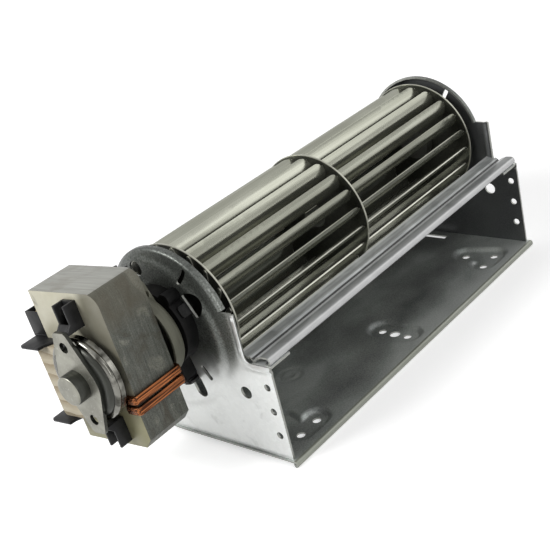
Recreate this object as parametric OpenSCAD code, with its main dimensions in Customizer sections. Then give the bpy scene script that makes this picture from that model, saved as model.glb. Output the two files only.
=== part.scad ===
// Cross-flow cooling fan: a drum impeller in a pressed sheet housing, with a shaded-pole motor at one end.
// Millimetres. +Z is up and X runs along the shaft, away from the motor. The outlet faces -Y.
// The origin is the middle of the middle screw pad, on the plane that the pads and the front lip stand on.

/* [Impeller] */
// Diameter of the three discs
wheel_d = 60; // [54:1:64]
// Length of one impeller section, from disc to disc
section_l = 90; // [60:1:120]
// Thickness of a disc
disc_t = 0.8; // [0.6:0.1:1.2]
// Number of blades round the wheel
blade_count = 20; // [16:1:20]
// Thickness of the blade sheet
blade_t = 0.6; // [0.4:0.1:0.8]
// Radius that each blade is rolled to
blade_r = 8; // [7:0.5:10]
// Angle between a blade's outer edge and the wheel's radius
blade_angle = 25; // [20:1:30]
// Arc that a blade's section spans, in degrees
blade_arc = 67; // [60:1:72]
// Depth of the blade tips below the rim of the discs
tip_depth = 0.7; // [0.4:0.1:1.2]
// Radius of the outer corner at the far end of each section of a blade
blade_corner = 4; // [2:0.5:4]
// Height that a blade's end tab stands above the disc
tab_h = 0.6; // [0.4:0.1:1]
// Width of the bent part of an end tab
tab_w = 2; // [1.5:0.1:2.5]
// Angle of the first blade's tip, from the back towards the top
first_blade = 1.5; // [0:0.5:17]
// Diameter of the hole in the middle disc
mid_hole_d = 12; // [8:1:24]

/* [Shafts and hubs] */
// Diameter of the motor shaft
shaft_d = 4; // [3:0.5:5]
// Diameter of the stub shaft at the far end
stub_d = 5; // [4:0.5:6]
// Diameter of the two hubs
hub_d = 16; // [13:1:22]
// Length of the drive hub on the near disc
drive_hub_l = 6; // [4:0.5:9]
// Length of the far hub, inside the drum
far_hub_l = 5; // [3:0.5:9]
// Running clearance of a shaft in its bush, on the radius
run_gap = 0.03; // [0.02:0.01:0.08]

/* [End plates] */
// Thickness of the end plates
plate_t = 1; // [0.8:0.1:1.4]
// Gap between an end disc and its end plate
end_gap = 6.6; // [6:0.2:9]
// Height of the shaft above the floor sheet
floor_drop = 56.3; // [54:0.5:62]
// Distance from the shaft to the plates' front edge
outlet_reach = 49.5; // [48:0.5:56]
// Depth of the outlet's upper edge below the shaft
outlet_top = 13.3; // [12:0.5:16]
// Distance from the shaft to the front edge of the upright tab
tab_reach = 37; // [36:0.5:39]
// Height of the upright tab above the shaft
tab_top = 8; // [5:0.5:12]
// Fillet between the upright tab and the outlet's upper edge
tab_fillet = 3; // [1.5:0.5:4]
// Radial gap between the wheel and the edge of the domed rim
dome_gap = 1.9; // [1.5:0.1:3]
// Depth of the rolled rim, towards the impeller
rim_depth = 3; // [2.5:0.1:5]
// Width of the flat edge between the dish and the rim
dish_edge = 2; // [1.5:0.1:3]
// Depth of the pressed dish, away from the impeller
dish_depth = 1.5; // [1:0.1:2.5]
// Radius of the dish
dish_r = 34.5; // [32:0.5:36]
// How far the dish's centre lies behind the shaft
dish_back = 8; // [6:0.5:10]
// How far the dish's centre lies below the shaft
dish_down = 7; // [5:0.5:9]
// Length of the lug that carries the tongue channel, along the shaft
rest_l = 12; // [8:0.5:18]

/* [End plate openings] */
// Diameter of the central opening
eye_d = 32; // [30:0.5:33]
// Radius of the half-moon opening in front of the eye
moon_r = 5.4; // [4:0.1:5.8]
// Distance from the shaft to the half-moon's centre
moon_reach = 19.3; // [19:0.1:21]
// Width of the web between the eye and the half-moon
moon_web = 2; // [1.5:0.1:2.5]
// Angle of the half-moon, from the back over the top
moon_angle = 150; // [145:1:155]
// Diameter of the round hole near the top
top_hole_d = 6.6; // [4:0.2:8]
// Distance from the shaft to that hole
top_hole_reach = 24.6; // [23:0.2:26]
// Angle of that hole, from the back over the top
top_hole_angle = 66; // [60:1:72]
// Width of the round-ended slot below the eye
slot_w = 6; // [4:0.2:7]
// Distance from the shaft to the slot's outer tip
slot_reach = 35.7; // [32:0.2:37]
// Distance from the shaft to the slot's inner end, where its lug is bent up
slot_start = 27; // [25:0.2:29]
// Angle of the slot, from the back under the bottom
slot_angle = -105; // [-110:1:-100]
// Width of the two narrow slots
slit_w = 2.2; // [1.5:0.1:3]
// Distance from the shaft to the narrow slots' outer tips
slit_reach = 30; // [28:0.2:31]
// Distance from the shaft to the narrow slots' inner ends
slit_start = 23.5; // [22:0.2:25]
// Angle of the narrow slots, above and below the front
slit_angle = 124; // [120:1:128]
// Length of the lugs that hold the rubber mount
lug_l = 5; // [3:0.2:6]
// Width of the lugs
lug_w = 5; // [4:0.2:6]

/* [End plate screw holes] */
// Diameter of the three small screw holes
screw_hole_d = 3.2; // [2.4:0.1:4.2]
// Pitch of the three small screw holes
screw_pitch = 11.3; // [9:0.1:11.5]
// Distance from the plates' front edge to the small holes
screw_inset = 3.9; // [3.5:0.1:6]
// Height of the lowest small hole above the floor sheet
screw_low = 10.8; // [8:0.1:14]
// Diameter of the large hole
large_hole_d = 5.6; // [4:0.1:7]
// Distance from the shaft to the large hole, forwards
large_hole_reach = 33; // [32.5:0.1:36]
// Depth of the large hole below the shaft
large_hole_drop = 28; // [26:0.5:32]

/* [Floor sheet] */
// Thickness of the floor sheet
floor_t = 0.8; // [0.6:0.1:1.2]
// Distance from the shaft to the front lip
lip_reach = 52; // [50.5:0.5:60]
// Height of the hemmed front lip
lip_h = 2.8; // [2.4:0.1:4]
// Width of the hem under the lip
hem_w = 1.9; // [1.8:0.1:3]
// Length of floor that stands out past each end plate
floor_over = 1; // [0.5:0.1:3]
// Radius of the scroll behind the impeller
scroll_r = 37.3; // [36.5:0.1:38.5]
// How far the scroll's centre lies behind the shaft
scroll_back = 12; // [11:0.5:14]
// Angle at which the scroll ends, from the back over the top
scroll_end = 58; // [40:1:60]
// Length of the slit near the far end plate, across the floor
vent_l = 13; // [8:0.5:16]
// Width of that slit, along the shaft
vent_w = 3; // [2:0.1:4]
// Distance from the end plate to that slit
vent_inset = 4; // [3:0.1:6]

/* [Screw pads] */
// Radius of the end pads, round each of their screw holes
pad_r = 5.6; // [5:0.1:6]
// Radius of the middle pad
mid_pad_r = 6.4; // [5:0.1:8]
// Diameter of the pads' screw holes
pad_hole_d = 3.8; // [3:0.1:4.6]
// Diameter of the middle pad's large hole
mid_hole_large_d = 5; // [4:0.1:5.6]
// Distance from the shaft to the front holes of every pad
pad_front = 39.5; // [38:0.5:41]
// Distance from the shaft to the back holes of every pad
pad_back = 25.5; // [24:0.5:27]
// Distance from the end plates to the outer front holes
pad_outer = 15.8; // [14:0.2:20]
// Spacing of an end pad's two front holes
pad_pitch = 11; // [10:0.2:13]
// How far an end pad's back hole lies inside its outer hole
pad_step = 4; // [2:0.2:6]

/* [Tongue channel] */
// Thickness of the channel's sheet
channel_t = 0.8; // [0.6:0.1:1]
// Radius of the rolled front edge
roll_r = 1.9; // [1.5:0.1:2.4]
// Height of the rear edge above the channel's seat
rear_h = 2.8; // [2:0.2:8]
// Distance from the rear edge forwards to the front edge
channel_w = 15.8; // [14:0.2:16]
// Depth of the groove between the two ridges
groove_d = 2.6; // [1.5:0.1:3]
// Distance from the front edge to the middle of the groove
groove_reach = 8.5; // [7:0.1:9.5]

/* [Motor core] */
// Thickness of the stack of laminations
stack_t = 21.6; // [16:0.2:26]
// Height of the stack
stack_h = 67; // [66:0.5:72]
// Distance from the shaft to the stack's front side
stack_reach = 16.8; // [16.2:0.1:18]
// Step back of the stack's lower front side
stack_step = 1.6; // [1:0.1:2]
// Distance from the shaft to the stack's back side
stack_back = 25; // [24.5:0.1:30]
// Width of the leg that carries the coil
leg_w = 6.6; // [6:0.2:9]
// Radius of the stack's upper front corner
stack_round = 6; // [4:0.5:10]
// Chamfer of the stack's lower front corner
stack_chamfer = 4; // [2:0.5:6]
// Gap between the stack and the end plate
motor_gap = 18.4; // [17.8:0.2:22]
// Lean of the motor, its top towards the back
motor_lean = 6; // [0:0.5:8]
// Diameter of the rotor
rotor_d = 22; // [19:0.5:22]
// Air gap between the rotor and the stack
air_gap = 0.4; // [0.3:0.05:0.6]
// Length of the rotor's end rings
end_ring_l = 2.5; // [1.5:0.1:4]

/* [Coil] */
// Height of the bobbin, over its flanges
bobbin_h = 35.2; // [30:0.1:38]
// Height of the bobbin's lower end above the bottom of the stack
bobbin_low = 11; // [7:0.1:12]
// Thickness of the bobbin's flanges
flange_t = 1.2; // [0.8:0.1:1.6]
// Thickness of the bobbin's inner wall
bobbin_t = 0.8; // [0.6:0.1:1]
// How far the flanges stand out past the stack's two faces
flange_over = 8.3; // [7:0.1:9]
// How far the flanges stand out behind the stack
flange_back = 8.6; // [6:0.1:9]
// Thickness of the winding in the window
coil_w = 4.6; // [3:0.1:4.8]
// Height of the terminal holder
holder_h = 11; // [6:0.5:14]
// Width of the terminal holder, along the shaft
holder_w = 8; // [6:0.5:10]

/* [Shading rings] */
// Height of each copper ring
ring_h = 3.5; // [3:0.1:3.8]
// Gap between the two copper rings
ring_gap = 1; // [0.8:0.1:1.6]
// Thickness of the copper
ring_t = 2; // [1.6:0.1:2.2]
// Depth of the upper ring's top below the shaft
ring_drop = 9; // [8.5:0.1:10]
// Width of iron inside each ring
ring_core = 5; // [4.5:0.1:5.2]

/* [Brackets] */
// Distance from the stack's face to the outer face of a bracket
bracket_reach = 10; // [9:0.2:12]
// Thickness of a bracket's strap
strap_t = 1.5; // [0.8:0.1:1.8]
// Length of a bracket's strap
strap_l = 44; // [43:0.5:46]
// Width of a bracket's strap at its ends
strap_w = 7.8; // [7:0.2:9]
// Diameter of the round middle of a bracket's strap
strap_eye_d = 23; // [17:0.2:24]
// Diameter of the hole near each end of a strap
strap_hole_d = 4.6; // [3:0.1:5]
// Outer diameter of the front bracket's bowl
bowl_d = 32; // [30:0.5:33]
// Outer diameter of the rear bracket's bowl
rear_bowl_d = 36.6; // [34:0.2:38]
// Thickness of the bowls
bowl_t = 1.2; // [1:0.1:1.6]
// Depth of the bowls
bowl_h = 6.4; // [5:0.1:6.8]
// Outer diameter of the bearing caps
cap_d = 12.6; // [12:0.1:15.5]
// Length of the bearing caps
cap_l = 5.5; // [4:0.1:6]
// Outer diameter of the bushes
bush_d = 10; // [8:0.5:10.5]
// Width of the polished ring, along the shaft
band_w = 4.2; // [1.5:0.1:4.5]
// Thickness of the polished ring, across the shaft
band_t = 2; // [1.5:0.1:3]

/* [Feet and screws] */
// Width of a plastic foot
foot_w = 7.5; // [7:0.1:8]
// Height of a plastic foot
foot_h = 11; // [9:0.5:12]
// Depth of a foot, out from the stack
foot_d = 5.8; // [5:0.1:6.5]
// Thickness of a foot's walls
foot_t = 1.2; // [1:0.1:1.4]
// Thickness of a foot's back, against the stack
foot_back = 1.5; // [1.2:0.1:1.8]
// Height of a foot's side walls at their outer corner
foot_kink = 3.5; // [3:0.1:5]
// Distance from the shaft to the inner end of a foot
foot_reach = 20; // [19.6:0.1:20.4]
// Diameter of the long screws
screw_d = 3; // [2.5:0.1:3.4]
// Diameter of the screws' heads
head_d = 4.8; // [4.4:0.1:4.9]
// Height of the screws' heads
head_h = 2.2; // [1.6:0.1:3]

/* [Rubber mounts] */
// Clearance of the rubber mount inside its lugs
rubber_gap = 0.1; // [0.05:0.05:0.2]
// Distance from the shaft to the end of the rubber's lower lobe
lobe_reach = 25.6; // [23:0.2:25.8]
// Width of the rubber's lobes
lobe_w = 6; // [4:0.5:8]
// Width of the far mount's flange over the edge of its eye
grommet_edge = 2; // [1:0.1:2.2]

/* [Hidden] */
$fn = 64;
eps = 0.01;
blade_names = [for (i = [1:blade_count]) str("blade_", i < 10 ? "0" : "", i)];

// Heights and stations along the shaft
axis_z = floor_drop + lip_h;
axis_y = (pad_back + pad_front) / 2;
wheel_r = wheel_d / 2;
disc_face = section_l + disc_t / 2;
plate_in = disc_face + end_gap;
plate_out = plate_in + plate_t;
dish_out = plate_out + dish_depth;
stack_rear = plate_out + motor_gap;
stack_mid = stack_rear + stack_t / 2;

// Blade section, in a frame turned to the blade's tip: centre of its arc, and its middle direction
blade_tip = wheel_r - tip_depth;
arc_x = blade_tip - blade_r * cos(blade_angle);
arc_y = -blade_r * sin(blade_angle);
blade_mid = blade_angle + blade_arc / 2;
blade_half = blade_r * sin(blade_arc / 2);
tab_half = blade_half * 0.55;
slit_gap = 0.05;

// End plate
dome_r = wheel_r + dome_gap;
scroll_down = floor_drop - scroll_r;
plate_top = -outlet_top;

// Motor
bore_r = rotor_d / 2 + air_gap;
half_t = stack_t / 2;
bobbin_z = -stack_h / 2 + bobbin_low;
fit = 0.15;
window_in = stack_back - leg_w - coil_w - bobbin_t - fit;
ring_in = stack_reach - ring_core;
foot_mid = foot_reach + foot_h - 4;
bowl_out = bracket_reach - strap_t;
band_x = bowl_out - bowl_h + 0.9;
band_d = bowl_d + 2 * band_t;

// Lays a section drawn in (y, z) along the shaft, from x0 to x1
module along(x0, x1) {
    translate([x0, 0, 0])
        rotate([90, 0, 90])
            linear_extrude(x1 - x0)
                children();
}

// Sets what is drawn round the shaft in its place
module on_shaft() {
    translate([0, axis_y, axis_z])
        children();
}

// A bar with round ends, between two points
module bar2d(p, q, r) {
    d = q - p;
    translate(p)
        circle(r);
    translate(q)
        circle(r);
    translate(p)
        rotate(atan2(d[1], d[0]))
            translate([0, -r])
                square([norm(d), 2 * r]);
}

// A sheet of thickness t that follows a line of points
function unit(v) = v / norm(v);
function left(v) = [-v[1], v[0]];
function side(pts, i) =
    let (a = unit(pts[max(i, 1)] - pts[max(i, 1) - 1]))
    let (b = unit(pts[min(i, len(pts) - 2) + 1] - pts[min(i, len(pts) - 2)]))
    let (m = unit(left(a) + left(b)))
    m / (m * left(a));
module strip2d(pts, t) {
    n = len(pts) - 1;
    outer = [for (i = [0:n]) pts[i] + side(pts, i) * t / 2];
    inner = [for (i = [n:-1:0]) pts[i] - side(pts, i) * t / 2];
    polygon(concat(outer, inner));
}

// Outline of an end plate: dome, upright tab, outlet side and scroll
module plate2d() {
    circle(dome_r, $fn = 96);
    translate([scroll_back, -scroll_down])
        circle(scroll_r, $fn = 96);
    translate([-outlet_reach, -floor_drop])
        square([outlet_reach + scroll_back, floor_drop - outlet_top]);
    translate([-tab_reach, plate_top - 1])
        square([tab_reach - dome_r * 0.6, tab_top - plate_top + 1]);
    difference() {
        translate([-tab_reach - tab_fillet, plate_top])
            square(tab_fillet);
        translate([-tab_reach - tab_fillet, plate_top + tab_fillet])
            circle(tab_fillet);
    }
}

// Outline of the dish, drawn in by inset
module dish2d(inset) {
    intersection() {
        translate([dish_back, -dish_down])
            circle(dish_r - inset, $fn = 96);
        union() {
            circle(dome_r - dish_edge - inset, $fn = 96);
            translate([scroll_back, -scroll_down])
                circle(scroll_r - dish_edge - inset, $fn = 96);
        }
    }
}

// Openings in the dish
module dish_openings2d() {
    circle(d = eye_d);
    rotate(moon_angle)
        intersection() {
            translate([moon_reach, 0])
                circle(moon_r);
            translate([eye_d / 2 + moon_web, -moon_r])
                square([2 * moon_r, 2 * moon_r]);
        }
    rotate(top_hole_angle)
        translate([top_hole_reach, 0])
            circle(d = top_hole_d);
    rotate(slot_angle) {
        bar2d([slot_start + slot_w / 2, 0], [slot_reach - slot_w / 2, 0], slot_w / 2);
        translate([slot_start, -slot_w / 2])
            square([slot_w / 2, slot_w]);
    }
    for (a = [-slit_angle, slit_angle])
        rotate(a)
            bar2d([slit_start, 0], [slit_reach - slit_w / 2, 0], slit_w / 2);
}

// Screw holes in the flat of an end plate
module plate_holes2d() {
    for (i = [0:2])
        translate([-outlet_reach + screw_inset, -floor_drop + screw_low + i * screw_pitch])
            circle(d = screw_hole_d);
    translate([-large_hole_reach, -large_hole_drop])
        circle(d = large_hole_d);
}

// Rolled rim: from the top of the upright tab, over the dome, to the scroll's end
module rim2d() {
    rim_from = scroll_end - 20;
    rim_to = 180 - asin(tab_top / dome_r) - 1;
    intersection() {
        difference() {
            circle(dome_r, $fn = 96);
            circle(dome_r - plate_t, $fn = 96);
        }
        polygon(concat([[0, 0]], [for (k = [0:6])
            2 * dome_r * [cos(rim_from + (rim_to - rim_from) * k / 6), sin(rim_from + (rim_to - rim_from) * k / 6)]]));
    }
}

// Lugs bent out of the dish, round the rubber mount
module lugs() {
    for (a = [moon_angle, slot_angle, moon_angle - 128])
        rotate([a, 0, 0])
            translate([dish_out - eps, a == slot_angle ? slot_start - plate_t : eye_d / 2 + moon_web - plate_t, 0])
                translate([0, 0, -lug_w / 2])
                    cube([lug_l, plate_t, lug_w]);
}

// One end plate, drawn at the far end
module end_plate() {
    along(plate_in, plate_out)
        difference() {
            plate2d();
            dish2d(plate_t);
            plate_holes2d();
        }
    along(plate_out - eps, dish_out)
        difference() {
            dish2d(0);
            dish2d(plate_t);
        }
    along(dish_out - plate_t, dish_out)
        difference() {
            dish2d(plate_t - eps);
            dish_openings2d();
        }
    along(plate_out - rim_depth, plate_in + eps)
        rim2d();
    translate([plate_in + eps - rest_l, -outlet_reach, plate_top - plate_t])
        cube([rest_l, outlet_reach - tab_reach - 1, plate_t]);
    lugs();
}

module motor_side_end_plate() {
    color("Gainsboro")
        on_shaft()
            mirror([1, 0, 0])
                end_plate();
}

module far_end_plate() {
    color("Gainsboro")
        on_shaft()
            end_plate();
}

// Outline of a pad, grown by g
module mid_pad2d(g) {
    bar2d([0, -pad_back], [0, -pad_front], mid_pad_r + g);
}
module end_pad2d(g) {
    x = plate_in - pad_outer;
    bar2d([x - pad_step, -pad_back], [x, -pad_front], pad_r + g);
    bar2d([x - pad_pitch, -pad_front], [x, -pad_front], pad_r + g);
}
module pads2d(g) {
    mid_pad2d(g);
    end_pad2d(g);
    mirror([1, 0])
        end_pad2d(g);
}
module pad_holes2d() {
    x = plate_in - pad_outer;
    for (y = [-pad_back, -pad_front])
        translate([0, y])
            circle(d = pad_hole_d);
    translate([0, -(pad_back + pad_front) / 2])
        circle(d = mid_hole_large_d);
    for (s = [-1, 1]) {
        translate([s * (x - pad_step), -pad_back])
            circle(d = pad_hole_d);
        for (dx = [0, pad_pitch])
            translate([s * (x - dx), -pad_front])
                circle(d = pad_hole_d);
    }
}

// Floor, hemmed lip and scroll in one sheet
module floor_sheet() {
    over = plate_out + floor_over;
    color("DarkGray")
        on_shaft() {
            translate([0, 0, -floor_drop - floor_t])
                linear_extrude(floor_t)
                    difference() {
                        translate([-over, -lip_reach])
                            square([2 * over, lip_reach + scroll_back]);
                        pads2d(0);
                        translate([plate_in - vent_inset - vent_w, scroll_back - 4 - vent_l])
                            square([vent_w, vent_l]);
                    }
            translate([0, 0, -axis_z])
                linear_extrude(lip_h)
                    difference() {
                        pads2d(0);
                        pads2d(-floor_t);
                    }
            translate([0, 0, -axis_z])
                linear_extrude(floor_t)
                    difference() {
                        pads2d(-floor_t + eps);
                        pad_holes2d();
                    }
            translate([-over, -lip_reach, -axis_z])
                cube([2 * over, floor_t, lip_h]);
            translate([-over, -lip_reach, -axis_z])
                cube([2 * over, hem_w, floor_t]);
            translate([-over, -lip_reach + hem_w - floor_t, -axis_z])
                cube([2 * over, floor_t, lip_h - floor_t - 0.3]);
            along(-over, over)
                scroll2d();
        }
}

module scroll2d() {
    far = 2 * scroll_r;
    translate([scroll_back, -scroll_down])
        intersection() {
            difference() {
                circle(scroll_r + floor_t, $fn = 128);
                circle(scroll_r, $fn = 128);
            }
            polygon(concat([[0, 0]], [for (k = [0:4])
                far * [cos(-90 + (scroll_end + 90) * k / 4), sin(-90 + (scroll_end + 90) * k / 4)]]));
        }
}

// Tongue channel: rear edge, groove, shelf and rolled front edge
module channel2d() {
    seat = plate_top;
    y0 = -outlet_reach + roll_r;
    mid_r = roll_r - channel_t / 2;
    shelf = seat + 2 * roll_r - channel_t / 2;
    groove_y = -outlet_reach + groove_reach;
    groove_half = 1.6;
    rear_y = -outlet_reach + channel_w;
    strip2d(concat([
        [rear_y, seat + rear_h],
        [groove_y + groove_half, shelf - 1.4],
        [groove_y, shelf - groove_d - channel_t / 2],
        [groove_y - groove_half, shelf - 0.6]
    ], [for (a = [90:20:310]) [y0 + mid_r * cos(a), seat + roll_r + mid_r * sin(a)]]), channel_t);
}
module tongue_channel() {
    inset = 0.1;
    color("Silver")
        on_shaft()
            along(-plate_in + inset, plate_in - inset)
                channel2d();
}

// Places what is drawn round a blade's arc centre at blade number i
module at_blade(i) {
    rotate([first_blade + 360 / blade_count * i, 0, 0])
        translate([0, arc_x, arc_y])
            children();
}

// Part of a ring round the arc centre, between two radii, half as wide as given
module arc2d(r_in, r_out, half) {
    rotate(blade_mid)
        intersection() {
            difference() {
                circle(r_out);
                circle(r_in);
            }
            translate([r_in * 0.5, -half])
                square([r_out, 2 * half]);
        }
}

// A blade's developed shape, along the shaft and across the blade: one broad part in each section of the drum,
// with its outer corner away from the motor rounded, and narrow tabs through the discs
function blade_edge(from, to) = concat(
    [[from, -tab_half], [from, -blade_half]],
    [for (k = [0:4]) [to - blade_corner * (1 - sin(22.5 * k)), blade_corner * (1 - cos(22.5 * k)) - blade_half]],
    [[to, -tab_half]]
);
module blade_face2d() {
    x0 = disc_t / 2 + slit_gap;
    x1 = section_l - disc_t / 2 - slit_gap;
    end = disc_face + tab_h;
    polygon(concat(
        blade_edge(-x1, -x0),
        blade_edge(x0, x1),
        [[end, -tab_half], [end, tab_half], [x1, tab_half]],
        [[x1, blade_half], [x0, blade_half], [x0, tab_half]],
        [[-x0, tab_half], [-x0, blade_half], [-x1, blade_half], [-x1, tab_half]],
        [[-end, tab_half], [-end, -tab_half]]
    ));
}

module blade(i) {
    end = disc_face + tab_h;
    color("DarkKhaki")
        on_shaft()
            at_blade(i) {
                intersection() {
                    along(-end - 1, end + 1)
                        difference() {
                            circle(blade_r + blade_t / 2);
                            circle(blade_r - blade_t / 2);
                        }
                    rotate([blade_mid, 0, 0])
                        translate([0, blade_r * 0.5, 0])
                            rotate([-90, 0, 0])
                                linear_extrude(blade_r)
                                    mirror([0, 1])
                                        blade_face2d();
                }
                for (s = [-1, 1])
                    translate([s * (disc_face + tab_h / 2), 0, 0])
                        along(-tab_h / 2, tab_h / 2)
                            arc2d(blade_r, blade_r + blade_t / 2 + tab_w, tab_half);
            }
}

// A disc with its blade slits, centred on x
module disc(x, hole_d) {
    color("Silver")
        on_shaft()
            along(x - disc_t / 2, x + disc_t / 2)
                difference() {
                    circle(wheel_r, $fn = 96);
                    circle(d = hole_d);
                    for (i = [0:blade_count - 1])
                        rotate(first_blade + 360 / blade_count * i)
                            translate([arc_x, arc_y])
                                arc2d(blade_r - blade_t / 2 - slit_gap, blade_r + blade_t / 2 + slit_gap,
                                    tab_half + slit_gap);
                }
}
module near_disc() {
    disc(-section_l, shaft_d);
}
module mid_disc() {
    disc(0, mid_hole_d);
}
module far_disc() {
    disc(section_l, stub_d);
}

// A round tube along the shaft
module tube(x0, x1, d_out, d_in) {
    along(x0, x1)
        difference() {
            circle(d = d_out);
            circle(d = d_in);
        }
}

module drive_hub() {
    color("DimGray")
        on_shaft()
            tube(-section_l + disc_t / 2, -section_l + disc_t / 2 + drive_hub_l, hub_d, shaft_d);
}
module far_hub() {
    color("DimGray")
        on_shaft()
            tube(section_l - disc_t / 2 - far_hub_l, section_l - disc_t / 2, hub_d, stub_d);
}
module motor_shaft() {
    front = stack_rear + stack_t + bracket_reach + cap_l - 2.5;
    color("LightSteelBlue")
        on_shaft()
            along(-front, -section_l + disc_t / 2 + drive_hub_l)
                circle(d = shaft_d);
}
module far_stub_shaft() {
    color("LightSteelBlue")
        on_shaft()
            along(section_l - disc_t / 2 - far_hub_l, dish_out + 3)
                circle(d = stub_d);
}

// Rubber mount and bush in the far end plate's eye
module far_bearing_mount() {
    color("DimGray")
        on_shaft()
            difference() {
                union() {
                    along(dish_out - plate_t - 1.5, dish_out + 2)
                        circle(d = eye_d - 2 * rubber_gap);
                    along(dish_out, dish_out + 2)
                        difference() {
                            circle(d = eye_d + 2 * (moon_web - plate_t - rubber_gap));
                            circle(d = eye_d - 1);
                        }
                }
                along(dish_out - 10, dish_out + 10)
                    circle(d = bush_d);
            }
}
module far_bearing_bush() {
    color("Peru")
        on_shaft()
            tube(dish_out - plate_t - 1.5, dish_out + 2, bush_d, stub_d + 2 * run_gap);
}

// Everything of the motor is drawn round the middle of its stack, front towards -X, then turned and set in place
module motor_at() {
    translate([-stack_mid, axis_y, axis_z])
        rotate([-motor_lean, 0, 0])
            children();
}

// Puts a piece drawn outwards from a face of the stack on the front face, or on the rear one
module front_face() {
    translate([-half_t, 0, 0])
        mirror([1, 0, 0])
            children();
}
module rear_face() {
    translate([half_t, 0, 0])
        children();
}

// Rubber mount between the rear bracket and the end plate
module motor_rubber_mount() {
    x0 = -stack_rear + bracket_reach + 0.2;
    color("DimGray")
        on_shaft()
            difference() {
                union() {
                    along(x0, -dish_out)
                        difference() {
                            union() {
                                circle(d = eye_d + 2 * (moon_web - plate_t - rubber_gap));
                                rotate(slot_angle)
                                    bar2d([cap_d / 2 + 3, 0], [lobe_reach - lobe_w / 2, 0], lobe_w / 2);
                                rotate(slit_angle)
                                    bar2d([cap_d / 2 + 3, 0], [eye_d / 2 + 4, 0], lobe_w / 2);
                            }
                            circle(d = cap_d);
                        }
                    along(-dish_out - eps, -dish_out + plate_t)
                        difference() {
                            circle(d = eye_d - 2 * rubber_gap);
                            circle(d = cap_d);
                        }
                }
            }
}

// Laminations: two pole limbs round the rotor, and the leg that carries the coil
module stack2d() {
    h = stack_h / 2;
    difference() {
        union() {
            translate([-stack_reach, -ring_drop - ring_h])
                square([stack_reach + stack_back, h + ring_drop + ring_h - stack_round]);
            translate([-stack_reach + stack_round, 0])
                square([stack_reach + stack_back - stack_round, h]);
            translate([-stack_reach + stack_round, h - stack_round])
                circle(stack_round);
            polygon([
                [-stack_reach + stack_step, 0],
                [-stack_reach + stack_step, -h + stack_chamfer],
                [-stack_reach + stack_step + stack_chamfer, -h],
                [stack_back, -h],
                [stack_back, 0]
            ]);
        }
        circle(bore_r);
        translate([window_in, bobbin_z])
            square([stack_back - leg_w - window_in, bobbin_h]);
        translate([-ring_in, -ring_drop - 2 * ring_h - ring_gap - fit])
            square([ring_t + fit, 2 * ring_h + ring_gap + 2 * fit]);
        for (s = [-1, 1])
            translate([0, s * foot_mid])
                circle(d = screw_d);
    }
}
module lamination_stack() {
    color("DarkGray")
        motor_at()
            along(-half_t, half_t)
                stack2d();
}

// Bobbin: tube round the leg, two flanges and the holder for the terminals
module bobbin() {
    y0 = window_in + fit;
    y1 = stack_back + flange_back;
    x1 = half_t + flange_over;
    tube_y = stack_back - leg_w - bobbin_t;
    color("DimGray")
        motor_at() {
            difference() {
                union() {
                    for (z = [bobbin_z, bobbin_z + bobbin_h - flange_t])
                        translate([0, 0, z])
                            linear_extrude(flange_t)
                                flange2d(x1, y0, y1);
                    translate([-half_t - bobbin_t, tube_y, bobbin_z])
                        cube([stack_t + 2 * bobbin_t, leg_w + 2 * bobbin_t, bobbin_h]);
                }
                translate([-half_t - eps, stack_back - leg_w, bobbin_z - 1])
                    cube([stack_t + 2 * eps, leg_w + eps, bobbin_h + 2]);
            }
            translate([-half_t, stack_back + 0.3, bobbin_z + bobbin_h - eps])
                difference() {
                    cube([holder_w, flange_back, holder_h]);
                    translate([bobbin_t, bobbin_t, 1])
                        cube([holder_w - 2 * bobbin_t, flange_back - 2 * bobbin_t, holder_h]);
                }
        }
}

// Flange outline: its front corner is cut with a large curve, clear of the bearing bowl
module flange2d(x1, y0, y1) {
    cut = x1 - half_t;
    difference() {
        translate([-x1, y0])
            square([2 * x1, y1 - y0]);
        for (s = [-1, 1])
            translate([s * x1, y0])
                circle(cut - fit);
    }
}

module coil_winding() {
    y0 = window_in + 2 * fit;
    y1 = stack_back + bobbin_t + coil_w;
    over = flange_over - 3.5;
    gap = 0.1;
    bowls = max(band_d, bowl_d, rear_bowl_d) + 0.6;
    color("AntiqueWhite")
        motor_at()
            difference() {
                translate([0, 0, bobbin_z + flange_t + gap])
                    linear_extrude(bobbin_h - 2 * flange_t - 2 * gap)
                        difference() {
                            coil2d(half_t + over, y0, y1, 3);
                            translate([-half_t - bobbin_t - gap, stack_back - leg_w - bobbin_t - gap])
                                square([stack_t + 2 * bobbin_t + 2 * gap, leg_w + 2 * bobbin_t + 2 * gap]);
                        }
                for (s = [-1, 1])
                    translate([s * (half_t + 5 + bowl_out - bowl_h - 0.5), 0, 0])
                        along(-5, 5)
                            circle(d = bowls);
            }
}
module coil2d(x1, y0, y1, r) {
    translate([-x1 + r, y0])
        square([2 * x1 - 2 * r, y1 - y0]);
    translate([-x1, y0 + r])
        square([2 * x1, y1 - y0 - 2 * r]);
    for (x = [-x1 + r, x1 - r], y = [y0 + r, y1 - r])
        translate([x, y])
            circle(r);
}

module terminal_blades() {
    blade_w = 2.8;
    blade_th = 0.5;
    color("Goldenrod")
        motor_at()
            for (k = [0, 1])
                translate([-half_t + holder_w * (k + 1) / 3 - blade_th / 2, stack_back + 0.3 + flange_back / 2 - blade_w / 2,
                    bobbin_z + bobbin_h + 1])
                    cube([blade_th, blade_w, holder_h - 2]);
}

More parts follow.
